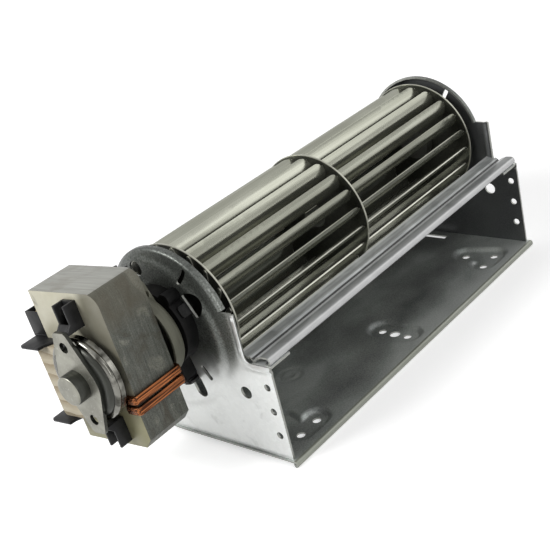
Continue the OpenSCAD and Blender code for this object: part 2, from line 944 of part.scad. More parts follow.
// A copper ring round the pole's front edge; its inner leg runs through the slot in the stack
module shading_ring(top) {
    x1 = half_t + 0.1;
    color("Chocolate")
        motor_at()
            translate([0, 0, top - ring_h])
                linear_extrude(ring_h)
                    difference() {
                        coil2d(x1 + ring_t, -stack_reach - ring_t, -ring_in + ring_t, 1.6);
                        translate([-x1, -stack_reach - 0.1])
                            square([2 * x1, ring_core + 0.1]);
                    }
}
module upper_shading_ring() {
    shading_ring(-ring_drop);
}
module lower_shading_ring() {
    shading_ring(-ring_drop - ring_h - ring_gap);
}

// A strap's outline: its round middle drawn out to two narrower ends
module strap2d() {
    r = strap_eye_d / 2;
    end = [strap_w, strap_l] / 2;
    bend = atan2(end[0], end[1]) + acos(r / norm(end));
    side = concat([end], [for (k = [0:8]) let(a = bend + (180 - 2 * bend) * k / 8) r * [sin(a), cos(a)]],
        [[end[0], -end[1]]]);
    polygon(concat(side, -side));
}

// A bearing bracket, drawn outwards from the stack's face: strap, bowl and bearing cap
module bracket(d) {
    along(bowl_out, bracket_reach)
        difference() {
            strap2d();
            circle(d = bush_d);
            for (s = [-1, 1])
                translate([0, s * (bowl_d / 2 - 0.2)])
                    circle(d = strap_hole_d);
        }
    tube(bowl_out - bowl_t, bowl_out + eps, d, bush_d);
    tube(bowl_out - bowl_h, bowl_out, d, d - 2 * bowl_t);
    tube(bracket_reach - eps, bracket_reach + cap_l, cap_d, bush_d);
    tube(bracket_reach + cap_l - 1, bracket_reach + cap_l, bush_d + 1, shaft_d + 1.5);
}
module front_bracket() {
    color("Silver")
        motor_at()
            front_face()
                bracket(bowl_d);
}
module rear_bracket() {
    color("Silver")
        motor_at()
            rear_face()
                bracket(rear_bowl_d);
}

// Bearing bushes, seated in the bracket's bowl and cap
module bush() {
    tube(bowl_out - bowl_t, bracket_reach + cap_l - 1, bush_d, shaft_d + 2 * run_gap);
}
module front_bearing_bush() {
    color("Peru")
        motor_at()
            front_face()
                bush();
}
module rear_bearing_bush() {
    color("Peru")
        motor_at()
            rear_face()
                bush();
}

module polished_ring() {
    color("WhiteSmoke")
        motor_at()
            front_face()
                tube(band_x, band_x + band_w, band_d, bowl_d);
}

// A plastic foot, drawn outwards from the stack's face and upwards: it carries one end of a strap
module foot() {
    kink = [foot_d, foot_reach + foot_kink];
    toe = [bowl_out, foot_reach + 0.8];
    wall = [
        [0, foot_reach],
        [0, foot_reach + foot_h],
        [foot_d, foot_reach + foot_h],
        kink,
        toe,
        [bowl_out, foot_reach]
    ];
    difference() {
        union() {
            for (y = [-foot_w / 2, foot_w / 2 - foot_t])
                translate([0, y + foot_t, 0])
                    rotate([90, 0, 0])
                        linear_extrude(foot_t)
                            polygon(wall);
            translate([0, -foot_w / 2, foot_reach])
                cube([foot_back, foot_w, foot_h]);
            translate([0, -foot_w / 2, foot_reach])
                cube([bowl_out, foot_w, foot_t]);
            translate([0, foot_w / 2, 0])
                rotate([90, 0, 0])
                    linear_extrude(foot_w)
                        polygon([[foot_d - foot_t, foot_reach], kink, toe, [bowl_out, foot_reach]]);
        }
        translate([-1, 0, foot_mid])
            rotate([0, 90, 0])
                cylinder(d = screw_d, h = 4);
    }
}
module front_upper_foot() {
    color("DimGray")
        motor_at()
            front_face()
                foot();
}
module front_lower_foot() {
    color("DimGray")
        motor_at()
            front_face()
                mirror([0, 0, 1])
                    foot();
}
module rear_upper_foot() {
    color("DimGray")
        motor_at()
            rear_face()
                foot();
}
module rear_lower_foot() {
    color("DimGray")
        motor_at()
            rear_face()
                mirror([0, 0, 1])
                    foot();
}

// A long screw through two feet and the stack, with its nut
module long_screw(z) {
    color("LightSteelBlue")
        motor_at()
            translate([0, 0, z]) {
                tube(-half_t - foot_back - head_h, half_t + foot_back + head_h, screw_d, 0.01);
                along(-half_t - foot_back - head_h, -half_t - foot_back)
                    circle(d = head_d);
                along(half_t + foot_back, half_t + foot_back + head_h)
                    circle(d = head_d, $fn = 6);
            }
}
module upper_screw() {
    long_screw(foot_mid);
}
module lower_screw() {
    long_screw(-foot_mid);
}

// Rotor on the motor shaft
module rotor_core() {
    color("Gray")
        motor_at()
            tube(-half_t, half_t, rotor_d, shaft_d);
}
module rotor_end_rings() {
    color("Silver")
        motor_at()
            for (s = [-1, 1])
                translate([s * (half_t + end_ring_l / 2), 0, 0])
                    tube(-end_ring_l / 2, end_ring_l / 2, rotor_d - 1, shaft_d + 6);
}

motor_side_end_plate();
far_end_plate();
floor_sheet();
tongue_channel();
near_disc();
mid_disc();
far_disc();
for (i = [0:blade_count - 1])
    blade(i);
drive_hub();
far_hub();
motor_shaft();
far_stub_shaft();
rotor_core();
rotor_end_rings();
far_bearing_mount();
far_bearing_bush();
motor_rubber_mount();
lamination_stack();
bobbin();
coil_winding();
terminal_blades();
upper_shading_ring();
lower_shading_ring();
front_bracket();
rear_bracket();
front_bearing_bush();
rear_bearing_bush();
polished_ring();
front_upper_foot();
front_lower_foot();
rear_upper_foot();
rear_lower_foot();
upper_screw();
lower_screw();
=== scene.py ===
import math
import bmesh
import bpy
import numpy
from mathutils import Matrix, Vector
from mathutils.geometry import delaunay_2d_cdt


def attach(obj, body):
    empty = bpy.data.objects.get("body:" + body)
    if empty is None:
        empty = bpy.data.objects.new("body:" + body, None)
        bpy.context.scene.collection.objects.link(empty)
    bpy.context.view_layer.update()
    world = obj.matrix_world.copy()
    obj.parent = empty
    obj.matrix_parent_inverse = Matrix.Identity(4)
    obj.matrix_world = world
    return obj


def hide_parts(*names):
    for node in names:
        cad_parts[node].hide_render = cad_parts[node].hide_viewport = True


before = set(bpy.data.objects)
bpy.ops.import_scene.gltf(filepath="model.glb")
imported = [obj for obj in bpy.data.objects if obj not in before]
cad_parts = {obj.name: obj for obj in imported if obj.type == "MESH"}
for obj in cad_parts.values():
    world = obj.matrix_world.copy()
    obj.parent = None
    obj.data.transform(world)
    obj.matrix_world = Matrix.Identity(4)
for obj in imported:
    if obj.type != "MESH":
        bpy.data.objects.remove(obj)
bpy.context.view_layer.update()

scene = bpy.context.scene


# Camera, light and floor: the fan stands on a white table in soft light from behind its motor
# end, from its far end and a little from the front, and is seen from its front left corner.
camera_data = bpy.data.cameras.new("camera")
camera_data.sensor_width = 36
camera_data.lens = 70.45
camera = bpy.data.objects.new("camera", camera_data)
camera.location = (-0.338411, -0.278040, 0.250647)
camera.rotation_euler = [math.radians(a) for a in (64.066, 12.8023, -50.5337)]
scene.collection.objects.link(camera)
scene.camera = camera
scene.view_settings.view_transform = "Standard"


def soft_lamp(name, place, aim, size, watts):
    """A square soft box at place, turned to aim."""
    data = bpy.data.lights.new(name, "AREA")
    data.shape = "SQUARE"
    data.size = size
    data.energy = watts
    lamp = bpy.data.objects.new(name, data)
    lamp.location = place
    lamp.rotation_euler = (Vector(aim) - Vector(place)).to_track_quat("-Z", "Y").to_euler()
    scene.collection.objects.link(lamp)


soft_lamp("lamp_left", (-0.85, 0.45, 0.75), (-0.1, 0, 0.05), 0.45, 8.3)
soft_lamp("lamp_far", (0.8, -0.45, 0.64), (0, 0, 0.05), 0.6, 1.2)
soft_lamp("lamp_front", (-0.25, -1.0, 0.5), (0, 0, 0.04), 0.6, 3.0)


def feed(tree, socket, value):
    """Links a socket to another, or sets it to a plain value."""
    if isinstance(value, bpy.types.NodeSocket):
        tree.links.new(value, socket)
    else:
        socket.default_value = value


def shader_node(tree, kind, inputs=(), **settings):
    """A shader node with its settings, and a link or a value for each input that is named."""
    made = tree.nodes.new("ShaderNode" + kind)
    for key, value in settings.items():
        setattr(made, key, value)
    for key, value in dict(inputs).items():
        feed(tree, made.inputs[key], value)
    return made


def shown_apart(tree, lighting, seen, output):
    """One shader lights the fan; the other shows where a ray sees the background, also mirrored."""
    path = shader_node(tree, "LightPath")
    total = path.outputs["Is Camera Ray"]
    for ray in ("Is Glossy Ray", "Is Transmission Ray"):
        total = shader_node(tree, "Math", {0: total, 1: path.outputs[ray]}, operation="MAXIMUM").outputs[0]
    either = shader_node(tree, "MixShader", {0: total, 1: lighting.outputs[0], 2: seen.outputs[0]})
    shader_node(tree, output, {"Surface": either.outputs[0]})


world = bpy.data.worlds.new("studio")
scene.world = world
world.use_nodes = True
tree = world.node_tree
tree.nodes.clear()
room, white = (shader_node(tree, "Background", {"Color": (1, 1, 1, 1), "Strength": strength})
               for strength in (0.35, 1.0))
shown_apart(tree, room, white, "OutputWorld")

table_material = bpy.data.materials.new("white_table")
table_material.use_nodes = True
tree = table_material.node_tree
tree.nodes.clear()
matt, shown = (shader_node(tree, "BsdfDiffuse", {"Color": (grey, grey, grey, 1)}) for grey in (0.55, 0.85))
spot = shader_node(tree, "TexCoord").outputs["Object"]
away = shader_node(tree, "VectorMath", {0: spot}, operation="LENGTH").outputs["Value"]
whiter = shader_node(tree, "MapRange", {"Value": away, "From Min": 0.3, "From Max": 0.8, "To Min": 0.5})
lift = shader_node(tree, "Emission", {"Strength": whiter.outputs[0]})
both = shader_node(tree, "AddShader", {0: shown.outputs[0], 1: lift.outputs[0]})
shown_apart(tree, matt, both, "OutputMaterial")

half_table = 3.0
table_mesh = bpy.data.meshes.new("table")
corners = [(half_table * x, half_table * y, 0) for x, y in ((-1, -1), (1, -1), (1, 1), (-1, 1))]
table_mesh.from_pydata(corners, [], [(0, 1, 2, 3)])
table_mesh.materials.append(table_material)
table = bpy.data.objects.new("table", table_mesh)
scene.collection.objects.link(table)


# End plates: 1 mm galvanised sheet, cut, dished round the eye and rolled over along the dome;
# three lugs are bent out of each to hold a rubber mount, and one inwards for the tongue channel.
shaft_y, shaft_z = 32.5, 59.1


def at_shaft(x, y, z):
    """Millimetres from the middle of the shaft, as a point of the frame in metres."""
    return Vector((x, y + shaft_y, z + shaft_z)) / 1000


def cosd(a):
    return math.cos(math.radians(a))


def sind(a):
    return math.sin(math.radians(a))


def smooth(t):
    t = min(1.0, max(0.0, t))
    return t * t * (3 - 2 * t)


def arc(cx, cy, r, start, stop, step=1.0):
    """Points along an arc, about step millimetres apart."""
    n = max(2, math.ceil(abs(math.radians(stop - start)) * r / step))
    return [(cx + r * cosd(start + (stop - start) * k / n), cy + r * sind(start + (stop - start) * k / n))
            for k in range(n + 1)]


def hole(cx, cy, r, step=0.6):
    return arc(cx, cy, r, 0, 360, step)[:-1]


def turned_to(points, angle):
    """Points drawn along a ray, turned to its angle."""
    return [(u * cosd(angle) - v * sind(angle), u * sind(angle) + v * cosd(angle)) for u, v in points]


def divided(points, step=1.2):
    """A closed outline with no side longer than step."""
    out = []
    for (ax, ay), (bx, by) in zip(points, points[1:] + points[:1]):
        n = max(1, math.ceil(math.hypot(bx - ax, by - ay) / step - 1e-6))
        out += [(ax + (bx - ax) * k / n, ay + (by - ay) * k / n) for k in range(n)]
    return out


def inside(points, loops):
    """Which points lie in the sheet: inside the outline and outside its holes."""
    points = numpy.asarray(points, float).reshape(-1, 2)
    found = numpy.zeros(len(points), bool)
    for loop in loops:
        for (ax, ay), (bx, by) in zip(loop, loop[1:] + loop[:1]):
            if ay != by:
                crosses = (ay > points[:, 1]) != (by > points[:, 1])
                found ^= crosses & (points[:, 0] < (bx - ax) * (points[:, 1] - ay) / (by - ay) + ax)
    return found


def grid(x0, x1, y0, y1, step):
    """Staggered rows of points over a rectangle."""
    rows = numpy.arange(y0, y1, step * 0.87)
    return [(x + (k % 2) * step / 2, y) for k, y in enumerate(rows) for x in numpy.arange(x0, x1, step)]


def filled(loops, extra=(), clear=0.45):
    """Triangles over a flat outline with holes, through the extra points in it."""
    rim = numpy.array([p for loop in loops for p in loop])
    extra = numpy.asarray(extra, float).reshape(-1, 2)
    if len(extra):
        extra = extra[inside(extra, loops)]
        near = numpy.array([((rim - p) ** 2).sum(1).min() for p in extra])
        extra = extra[near > clear ** 2]
    points, edges = [], []
    for loop in loops:
        first = len(points)
        points += [Vector(p) for p in loop]
        edges += [(first + k, first + (k + 1) % len(loop)) for k in range(len(loop))]
    points += [Vector(p) for p in extra]
    flat, _, faces = delaunay_2d_cdt(points, edges, [], 0, 1e-5)[:3]
    middles = [sum((flat[i] for i in f), Vector((0, 0))) / len(f) for f in faces]
    kept = inside([tuple(m) for m in middles], loops)
    return [tuple(p) for p in flat], [tuple(f) for f, k in zip(faces, kept) if k]


class Shell:
    """Points in millimetres and faces, gathered part by part into one mesh."""

    def __init__(self):
        self.points, self.faces, self.marks = [], [], []

    def add(self, points, faces, mark=0):
        first = len(self.points)
        self.points += [tuple(p) for p in points]
        self.faces += [tuple(first + i for i in f) for f in faces]
        self.marks += [mark] * len(faces)
        return self

    def rows(self, rings, closed=True, mark=0, joined=False):
        """A skin between rings of points, one after another; joined brings it back to the first."""
        n, m = len(rings[0]), len(rings)
        faces = [(k * n + i, k * n + (i + 1) % n, (k + 1) % m * n + (i + 1) % n, (k + 1) % m * n + i)
                 for k in range(m if joined else m - 1) for i in range(n if closed else n - 1)]
        return self.add([p for ring in rings for p in ring], faces, mark)

    def turned(self, line, steps=96, mark=0):
        """A closed line of (x, distance from the shaft), turned once round the shaft."""
        angles = [360 * k / steps for k in range(steps)]
        rings = [[(x, r * cosd(a), r * sind(a)) for x, r in line] for a in angles]
        return self.rows(rings, mark=mark, joined=True)

    def prism(self, loops, low, high, lay=lambda u, v, h: (h, u, v)):
        """A flat outline with holes, made thick along the shaft, or as lay(u, v, h) puts it."""
        if len(loops) == 1:
            flat, faces = list(loops[0]), [tuple(range(len(loops[0])))]
        else:
            flat, faces = filled(loops)
        n = len(flat)
        skin = [lay(u, v, low) for u, v in flat] + [lay(u, v, high) for u, v in flat]
        both = [tuple(reversed(f)) for f in faces] + [tuple(n + i for i in f) for f in faces]
        first = 0
        for loop in loops:
            side = [(first + i, first + (i + 1) % len(loop)) for i in range(len(loop))]
            both += [(a, b, n + b, n + a) for a, b in side]
            first += len(loop)
        return self.add(skin, both)

    def piece(self, node, place, finishes, thickness=0, edge=0, sharp=38, weld=0.0, upper=(0, 0, 0)):
        """The object that dresses a node: placed, welded, thickened and edge-rounded as asked.

        On a sheet, the first finish lies on the side that upper points to, the second on the
        other side, and the third on the cut edge.
        """
        name = "dressed_" + node
        mesh = bpy.data.meshes.new(name)
        mesh.from_pydata([place(*p) for p in self.points], [], self.faces)
        mesh.polygons.foreach_set("material_index", self.marks)
        for finish in finishes:
            mesh.materials.append(finish.material)
        tidied(mesh, weld / 1000, Vector(upper))
        piece = bpy.data.objects.new(name, mesh)
        scene.collection.objects.link(piece)
        if thickness:
            sheet = piece.modifiers.new("sheet", "SOLIDIFY")
            sheet.thickness = thickness / 1000
            sheet.offset = 0
            sheet.use_even_offset = True
            sheet.material_offset = min(1, len(finishes) - 1)
            sheet.material_offset_rim = min(2, len(finishes) - 1)
        if edge:
            bevel = piece.modifiers.new("edge", "BEVEL")
            bevel.width = edge / 1000
            bevel.segments = 2
            bevel.limit_method = "ANGLE"
            bevel.angle_limit = math.radians(30)
        made = bpy.data.meshes.new_from_object(piece.evaluated_get(bpy.context.evaluated_depsgraph_get()))
        piece.modifiers.clear()
        piece.data = made
        bpy.data.meshes.remove(mesh)
        made.name = name
        tidied(made)
        made.polygons.foreach_set("use_smooth", [True] * len(made.polygons))
        made.set_sharp_from_angle(angle=math.radians(sharp))
        return piece


def tidied(mesh, weld=0.0, upper=Vector((0, 0, 0))):
    """Joins points that meet and turns all faces one way: outwards, or to the upper side."""
    work = bmesh.new()
    work.from_mesh(mesh)
    if weld:
        bmesh.ops.remove_doubles(work, verts=work.verts, dist=weld)
    bmesh.ops.recalc_face_normals(work, faces=work.faces)
    if sum((face.normal * face.calc_area() for face in work.faces), Vector()).dot(upper) < 0:
        bmesh.ops.reverse_faces(work, faces=work.faces)
    work.to_mesh(mesh)
    work.free()


def tone(red, green=None, blue=None):
    """A colour as it shows, 0 to 255, as the linear value that a shader takes."""
    shown = (red, red if green is None else green, red if blue is None else blue)
    line = [c / 255 / 12.92 if c / 255 <= 0.04045 else ((c / 255 + 0.055) / 1.055) ** 2.4 for c in shown]
    return (*line, 1)


class Finish:
    """A Principled material, with the few nodes that its surface needs."""

    def __init__(self, name, metal, rough, shine=0.5):
        self.material = bpy.data.materials.new(name)
        self.material.use_nodes = True
        self.tree = self.material.node_tree
        self.shader = self.tree.nodes["Principled BSDF"]
        self.shader.inputs["Metallic"].default_value = metal
        self.shader.inputs["Roughness"].default_value = rough
        self.shader.inputs["Specular IOR Level"].default_value = shine
        self.place = self.tree.nodes.new("ShaderNodeTexCoord").outputs["Object"]
        self.axes = None

    def node(self, kind, inputs, **settings):
        return shader_node(self.tree, kind, inputs, **settings)

    def noise(self, scale, detail=3.0, along=(1, 1, 1), warp=0.0):
        """Cloudy noise; along stretches it where its numbers are small."""
        spot = self.node("Mapping", {"Vector": self.place, "Scale": along}).outputs[0]
        return self.node("TexNoise", {"Vector": spot, "Scale": scale, "Detail": detail,
                                      "Distortion": warp}).outputs[0]

    def spangle(self, scale):
        """The patchwork of crystals on hot-dipped zinc."""
        cells = self.node("TexVoronoi", {"Vector": self.place, "Scale": scale})
        return self.node("SeparateColor", {"Color": cells.outputs["Color"]}).outputs[0]

    def graded(self, axis, low, high, most=1.0):
        """0 to most between two places along an axis, in millimetres of the frame."""
        if self.axes is None:
            self.axes = self.node("SeparateXYZ", {"Vector": self.place})
        return self.eased(self.axes.outputs["XYZ".index(axis)], low, high, most)

    def eased(self, value, low, high, most=1.0):
        """A length in metres, as 0 to most between two lengths in millimetres."""
        ends = {"Value": value, "From Min": low / 1000, "From Max": high / 1000, "To Max": most}
        return self.node("MapRange", ends, interpolation_type="SMOOTHSTEP").outputs[0]

    def round_shaft(self, low, high):
        """0 to 1 between two distances from the shaft, in millimetres."""
        to_shaft = (0, -shaft_y / 1000, -shaft_z / 1000)
        spot = self.node("VectorMath", {0: self.place, 1: to_shaft}, operation="ADD")
        flat = self.node("VectorMath", {0: spot.outputs[0], 1: (0, 1, 1)}, operation="MULTIPLY")
        away = self.node("VectorMath", {0: flat.outputs[0]}, operation="LENGTH").outputs["Value"]
        return self.eased(away, low, high)

    def steps(self, value, low, high, most=1.0):
        """Stretches a noise so that low becomes 0 and high becomes most."""
        ends = {"Value": value, "From Min": low, "From Max": high, "To Max": most}
        return self.node("MapRange", ends).outputs[0]

    def spread(self, value, low, high):
        """Brings a noise from between 0 and 1 to between low and high."""
        return self.node("MapRange", {"Value": value, "To Min": low, "To Max": high}).outputs[0]

    def mix(self, share, first, second, kind="MIX"):
        """The first colour, turned into the second by a share from 0 to 1."""
        colours = {0: share, 6: first, 7: second}
        return self.node("Mix", colours, data_type="RGBA", blend_type=kind).outputs[2]

    def times(self, first, second):
        return self.node("Math", {0: first, 1: second}, operation="MULTIPLY", use_clamp=True).outputs[0]

    def finish(self, colour, rough, bump, depth):
        """Colour, roughness where it isn't even, and unevenness as deep as depth millimetres."""
        feed(self.tree, self.shader.inputs["Base Color"], colour)
        if rough is not None:
            feed(self.tree, self.shader.inputs["Roughness"], rough)
        made = self.node("Bump", {"Height": bump, "Strength": 0.6, "Distance": depth / 1000})
        feed(self.tree, self.shader.inputs["Normal"], made.outputs[0])
        return self

    def grained(self, dark, light, depth, scale, detail=3.0, along=(1, 1, 1)):
        """Two tones mixed by one noise, which also makes the surface uneven."""
        grain = self.noise(scale, detail, along)
        return self.finish(self.mix(grain, dark, light), None, grain, depth)


# Sizes of a plate: places along the shaft, and the dome's radius, are those of the sheet's middle
plate_t = 1.0
plate_x = 97.5
dome_r, roll_mid = 30.3, 1.1
rim_x = 95.0
lug_w, lug_stand = 5.0, 5.5
front_y, lower_z, upper_z = -49.5, -56.3, -13.3
tab_y, tab_z, fillet = -37.0, 8.0, 3.0
scroll_y, scroll_z, scroll_r = 12.0, -19.0, 37.3
dish_depth = 1.5

span = math.hypot(scroll_y, scroll_z)
reach_in = (dome_r ** 2 - scroll_r ** 2 + span ** 2) / (2 * span)
reach_up = math.sqrt(dome_r ** 2 - reach_in ** 2)
meet = ((scroll_y * reach_in - scroll_z * reach_up) / span,
        (scroll_z * reach_in + scroll_y * reach_up) / span)
dome_from = math.degrees(math.atan2(meet[1], meet[0]))
dome_to = 180 - math.degrees(math.asin(tab_z / dome_r))
dome_line = arc(0, 0, dome_r, dome_from, dome_to, 0.9)

there_and_back = divided([(front_y, lower_z), (scroll_y, lower_z)])
outline = there_and_back[:len(there_and_back) // 2]
scroll_to = math.degrees(math.atan2(meet[1] - scroll_z, meet[0] - scroll_y))
outline += arc(scroll_y, scroll_z, scroll_r, -90, scroll_to, 1.1)[:-1]
outline += dome_line
outline += [(tab_y, tab_z)]
outline += [(tab_y, tab_z - k) for k in range(1, int(tab_z - upper_z - fillet))]
outline += arc(tab_y - fillet, upper_z + fillet, fillet, 0, -90, 0.6)
outline += [(front_y, upper_z)]
outline = divided(outline, 1.25)

plate_eye_r = 16
moon_mid, moon_r, moon_flat = 19.3, 5.4, 18
slit_in, slit_out, slit_r = 23.5, 28.9, 1.1
row_y, row_z, row_step, row_r = -45.6, -45.5, 11.3, 1.6
moon_edge = math.degrees(math.acos((moon_flat - moon_mid) / moon_r))
openings = [
    hole(0, 0, plate_eye_r, 0.9),
    turned_to(divided(arc(moon_mid, 0, moon_r, -moon_edge, moon_edge, 0.5), 0.8), 150),
    turned_to(hole(24.6, 0, 3.3), 66),
    turned_to(divided([(27, -3)] + arc(32.7, 0, 3, -90, 90, 0.5) + [(27, 3)], 0.8), -105),
    hole(-33, -28, 2.8),
]
slit = arc(slit_out, 0, slit_r, -90, 90, 0.4) + arc(slit_in, 0, slit_r, 90, 270, 0.4)
openings += [turned_to(divided(slit, 0.9), angle) for angle in (-124, 124)]
openings += [hole(row_y, row_z + row_step * k, row_r, 0.5) for k in range(3)]


def edge_depth(y, z):
    """How far inside the tab's front edge and the outlet's upper edge a place lies."""
    if z > upper_z + fillet:
        return y - tab_y
    if y < tab_y - fillet:
        return upper_z - z
    return math.hypot(y - tab_y + fillet, z - upper_z - fillet) - fillet


def relief(y, z):
    """Height pressed out of the flat sheet: the dish, and the bead along the open edge."""
    deep = min(34.5 - math.hypot(y - 8, z + 7),
               max(29.9 - math.hypot(y, z), 35.3 - math.hypot(y - scroll_y, z - scroll_z)))
    e = edge_depth(y, z)
    bead = 0.4 * math.exp(-((e - 1.1) / 0.6) ** 2) - 0.35 * math.exp(-((e - 2.6) / 0.7) ** 2)
    return dish_depth * smooth(deep / 4.2 + 0.5) + bead


inner_points = grid(-50, 50, -57, 31, 1.5)
for k in (0.5, 1.1, 1.7, 2.3, 3.0, 3.8):
    inner_points += [(tab_y + k, z) for z in numpy.arange(upper_z + fillet, tab_z - 0.4, 1.0)]
    inner_points += arc(tab_y - fillet, upper_z + fillet, fillet + k, 0, -90, 0.9)
    inner_points += [(y, upper_z - k) for y in numpy.arange(front_y + 0.5, tab_y - fillet, 1.0)]
plate_flat, plate_faces = filled([outline] + openings, inner_points, 0.6)

roll = [(dome_r, plate_x)] + [(dome_r + roll_mid * sind(f), plate_x - roll_mid + roll_mid * cosd(f))
                              for f in (22.5, 45, 67.5, 90)]
roll += [(dome_r + roll_mid, x) for x in (96.0, 95.5, rim_x)]


def bent_lug(root, angle):
    """Rings of points along a lug that turns up from the dish at a distance from the shaft."""
    path = [(plate_x + dish_depth, root - 1.6), (plate_x + dish_depth, root - 1.0)]
    path += [(plate_x + dish_depth + 1 - cosd(f), root - 1 + sind(f)) for f in (30, 60, 90)]
    path += [(plate_x + dish_depth + lug_stand * k, root) for k in (0.5, 0.8, 0.93, 1.0)]
    rings = []
    for k, (x, r) in enumerate(path):
        half = lug_w / 2 - (0.35 if k == len(path) - 2 else 1.1 if k == len(path) - 1 else 0)
        rings.append([(x, *turned_to([(r, half * t)], angle)[0]) for t in (-1, -0.5, 0, 0.5, 1)])
    return rings


zinc = Finish("galvanised_plate_outside", 0.55, 0.34)
crystals = zinc.spangle(650)
cloud = zinc.noise(60, 4.0)
fine = zinc.noise(1500, 2.0)
# Painted shade: the dished eye is painted dark grey above about the shaft's height, fading out further
# down, for the shade and dark reflections in the dish; the flat of the plate keeps its bright zinc.
dish_shade_area = zinc.round_shaft(38.0, 33.0)
high = zinc.graded("Z", 30, 52)
grey = zinc.mix(crystals, tone(97, 100, 96), tone(113, 116, 112))
# Painted light: the dish's grey is lighter towards the front of the plate.
grey = zinc.mix(zinc.graded("Y", 14, -3, 0.7), grey, tone(172, 175, 170))
grey = zinc.mix(zinc.steps(fine, 0.25, 0.75), grey, tone(98, 101, 97), "OVERLAY")
bright = zinc.mix(zinc.steps(cloud, 0.35, 0.7), tone(238, 240, 238), tone(226, 228, 226))
bright = zinc.mix(zinc.steps(crystals, 0.2, 1.0, 0.4), bright, tone(244, 246, 244))
share = zinc.times(dish_shade_area, high)
stain = zinc.steps(zinc.noise(110, 5.0, warp=0.6), 0.62, 0.74, 0.3)
bright = zinc.mix(stain, bright, tone(150, 152, 148))
zinc.finish(zinc.mix(share, bright, grey), zinc.spread(fine, 0.28, 0.44), fine, 0.012)

# Painted shade: the inner face of each plate is the same zinc as the outside, painted dark grey for the
# shade inside the housing.
zinc_inside_painted_shade = Finish("galvanised_plate_inside_painted_shade", 0.5, 0.34)
fine = zinc_inside_painted_shade.noise(1300, 2.0)
cloud = zinc_inside_painted_shade.noise(45, 3.0)
dark = zinc_inside_painted_shade.mix(zinc_inside_painted_shade.steps(fine, 0.3, 0.7), tone(88, 90, 91), tone(108, 110, 110))
dark = zinc_inside_painted_shade.mix(zinc_inside_painted_shade.steps(cloud, 0.35, 0.7), dark, tone(112, 114, 114))
zinc_inside_painted_shade.finish(dark, None, fine, 0.01)

cut_edge = Finish("cut_sheet_edge", 0.8, 0.38)
cut_edge.grained(tone(120, 121, 116), tone(176, 178, 172), 0.02, 900, 2.0, (1, 1, 0.2))
# Painted shade: the lugs are bent out of the same zinc sheet but painted near black, as the shade round
# them.
zinc_lug_painted_shade = Finish("bent_lugs_painted_shade", 0.7, 0.4).grained(tone(26), tone(54), 0.02, 700)
lug_mark = 3

for side, node in ((-1, "motor_side_end_plate"), (1, "far_end_plate")):
    plate = Shell()
    plate.add([(plate_x + relief(y, z), y, z) for y, z in plate_flat], plate_faces)
    first = [(plate_x + relief(y, z), y, z) for y, z in dome_line]
    rings = [first] + [[(x, y * r / dome_r, z * r / dome_r) for y, z in dome_line] for r, x in roll[1:]]
    plate.rows(rings, closed=False)
    for root, angle in ((17.5, 150), (17.5, 22), (26.5, -105)):
        plate.rows(bent_lug(root, angle), closed=False, mark=lug_mark)
    shelf = [[(x, y, upper_z - 0.5) for y in numpy.arange(front_y + 0.2, tab_y - 1.0, 1.9)]
             for x in (plate_x, 95, 92, 89, 86, 85.2)]
    plate.rows(shelf, closed=False)
    skins = (zinc, zinc_inside_painted_shade, cut_edge, zinc_lug_painted_shade)
    piece = plate.piece(node, lambda x, y, z: at_shaft(side * x, y, z), skins, thickness=plate_t,
                        weld=0.02, sharp=48, upper=(side, 0, 0))
    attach(piece, "housing")
    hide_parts(node)


# Floor sheet: 0.8 mm galvanised sheet, folded to a hemmed lip in front and rolled up behind the
# impeller as its scroll, with three screw pads pressed down to the level of the lip.
floor_t = 0.8
floor_half = 99.0
lip_mid, hem_mid, hem_back = -51.6, -58.7, -50.5
floor_mid, pad_drop = -56.7, 2.0


def oblong(x0, x1, y0, y1):
    return [(x0, y0), (x1, y0), (x1, y1), (x0, y1)]


def rounded(points, radii):
    """An open line with its corners rounded, each by its own radius."""
    out = [points[0]]
    for a, b, c, r in zip(points, points[1:], points[2:], radii):
        a, b, c = Vector(a), Vector(b), Vector(c)
        u, v = (a - b).normalized(), (c - b).normalized()
        half = math.acos(max(-1, min(1, u.dot(v)))) / 2
        back = r / math.tan(half)
        middle = b + (u + v).normalized() * (r / math.sin(half))
        p, q = b + u * back, b + v * back
        turn = (q - middle).angle_signed(p - middle)
        n = max(2, math.ceil(abs(turn) / math.radians(20)))
        for k in range(n + 1):
            s = math.sin(turn * k / n)
            t = math.cos(turn * k / n)
            d = p - middle
            out.append(tuple(middle + Vector((d.x * t - d.y * s, d.x * s + d.y * t))))
    return out + [points[-1]]


hem_top = -57.4
profile = [(hem_back, hem_top), (hem_back, hem_mid), (lip_mid, hem_mid), (lip_mid, floor_mid),
           (0, floor_mid)]
profile = rounded(profile, (0.5, 0.5, 0.7))
bend_count = len(profile) - 1
profile = profile[:-1] + arc(scroll_y, scroll_z, scroll_r + 0.4, -90, 58, 2.2)
run = [0.0]
for (ay, az), (by, bz) in zip(profile, profile[1:]):
    run.append(run[-1] + math.hypot(by - ay, bz - az))
flat_from = run[bend_count - 1]
flat_to = run[bend_count]


def across_floor(y):
    """Distance along the sheet, from the hem, of a place on the flat floor."""
    return flat_from + y - profile[bend_count - 1][0]


def on_sheet(s):
    """(y, z) of a place at a distance along the sheet."""
    k = min(max(numpy.searchsorted(run, s) - 1, 0), len(run) - 2)
    t = (s - run[k]) / (run[k + 1] - run[k])
    (ay, az), (by, bz) = profile[k], profile[k + 1]
    return ay + (by - ay) * t, az + (bz - az) * t


def from_line(x, y, ax, ay, bx, by):
    """Distance of a place from a line between two points."""
    length = (bx - ax) ** 2 + (by - ay) ** 2
    t = min(1, max(0, ((x - ax) * (bx - ax) + (y - ay) * (by - ay)) / length))
    return math.hypot(x - ax - (bx - ax) * t, y - ay - (by - ay) * t)


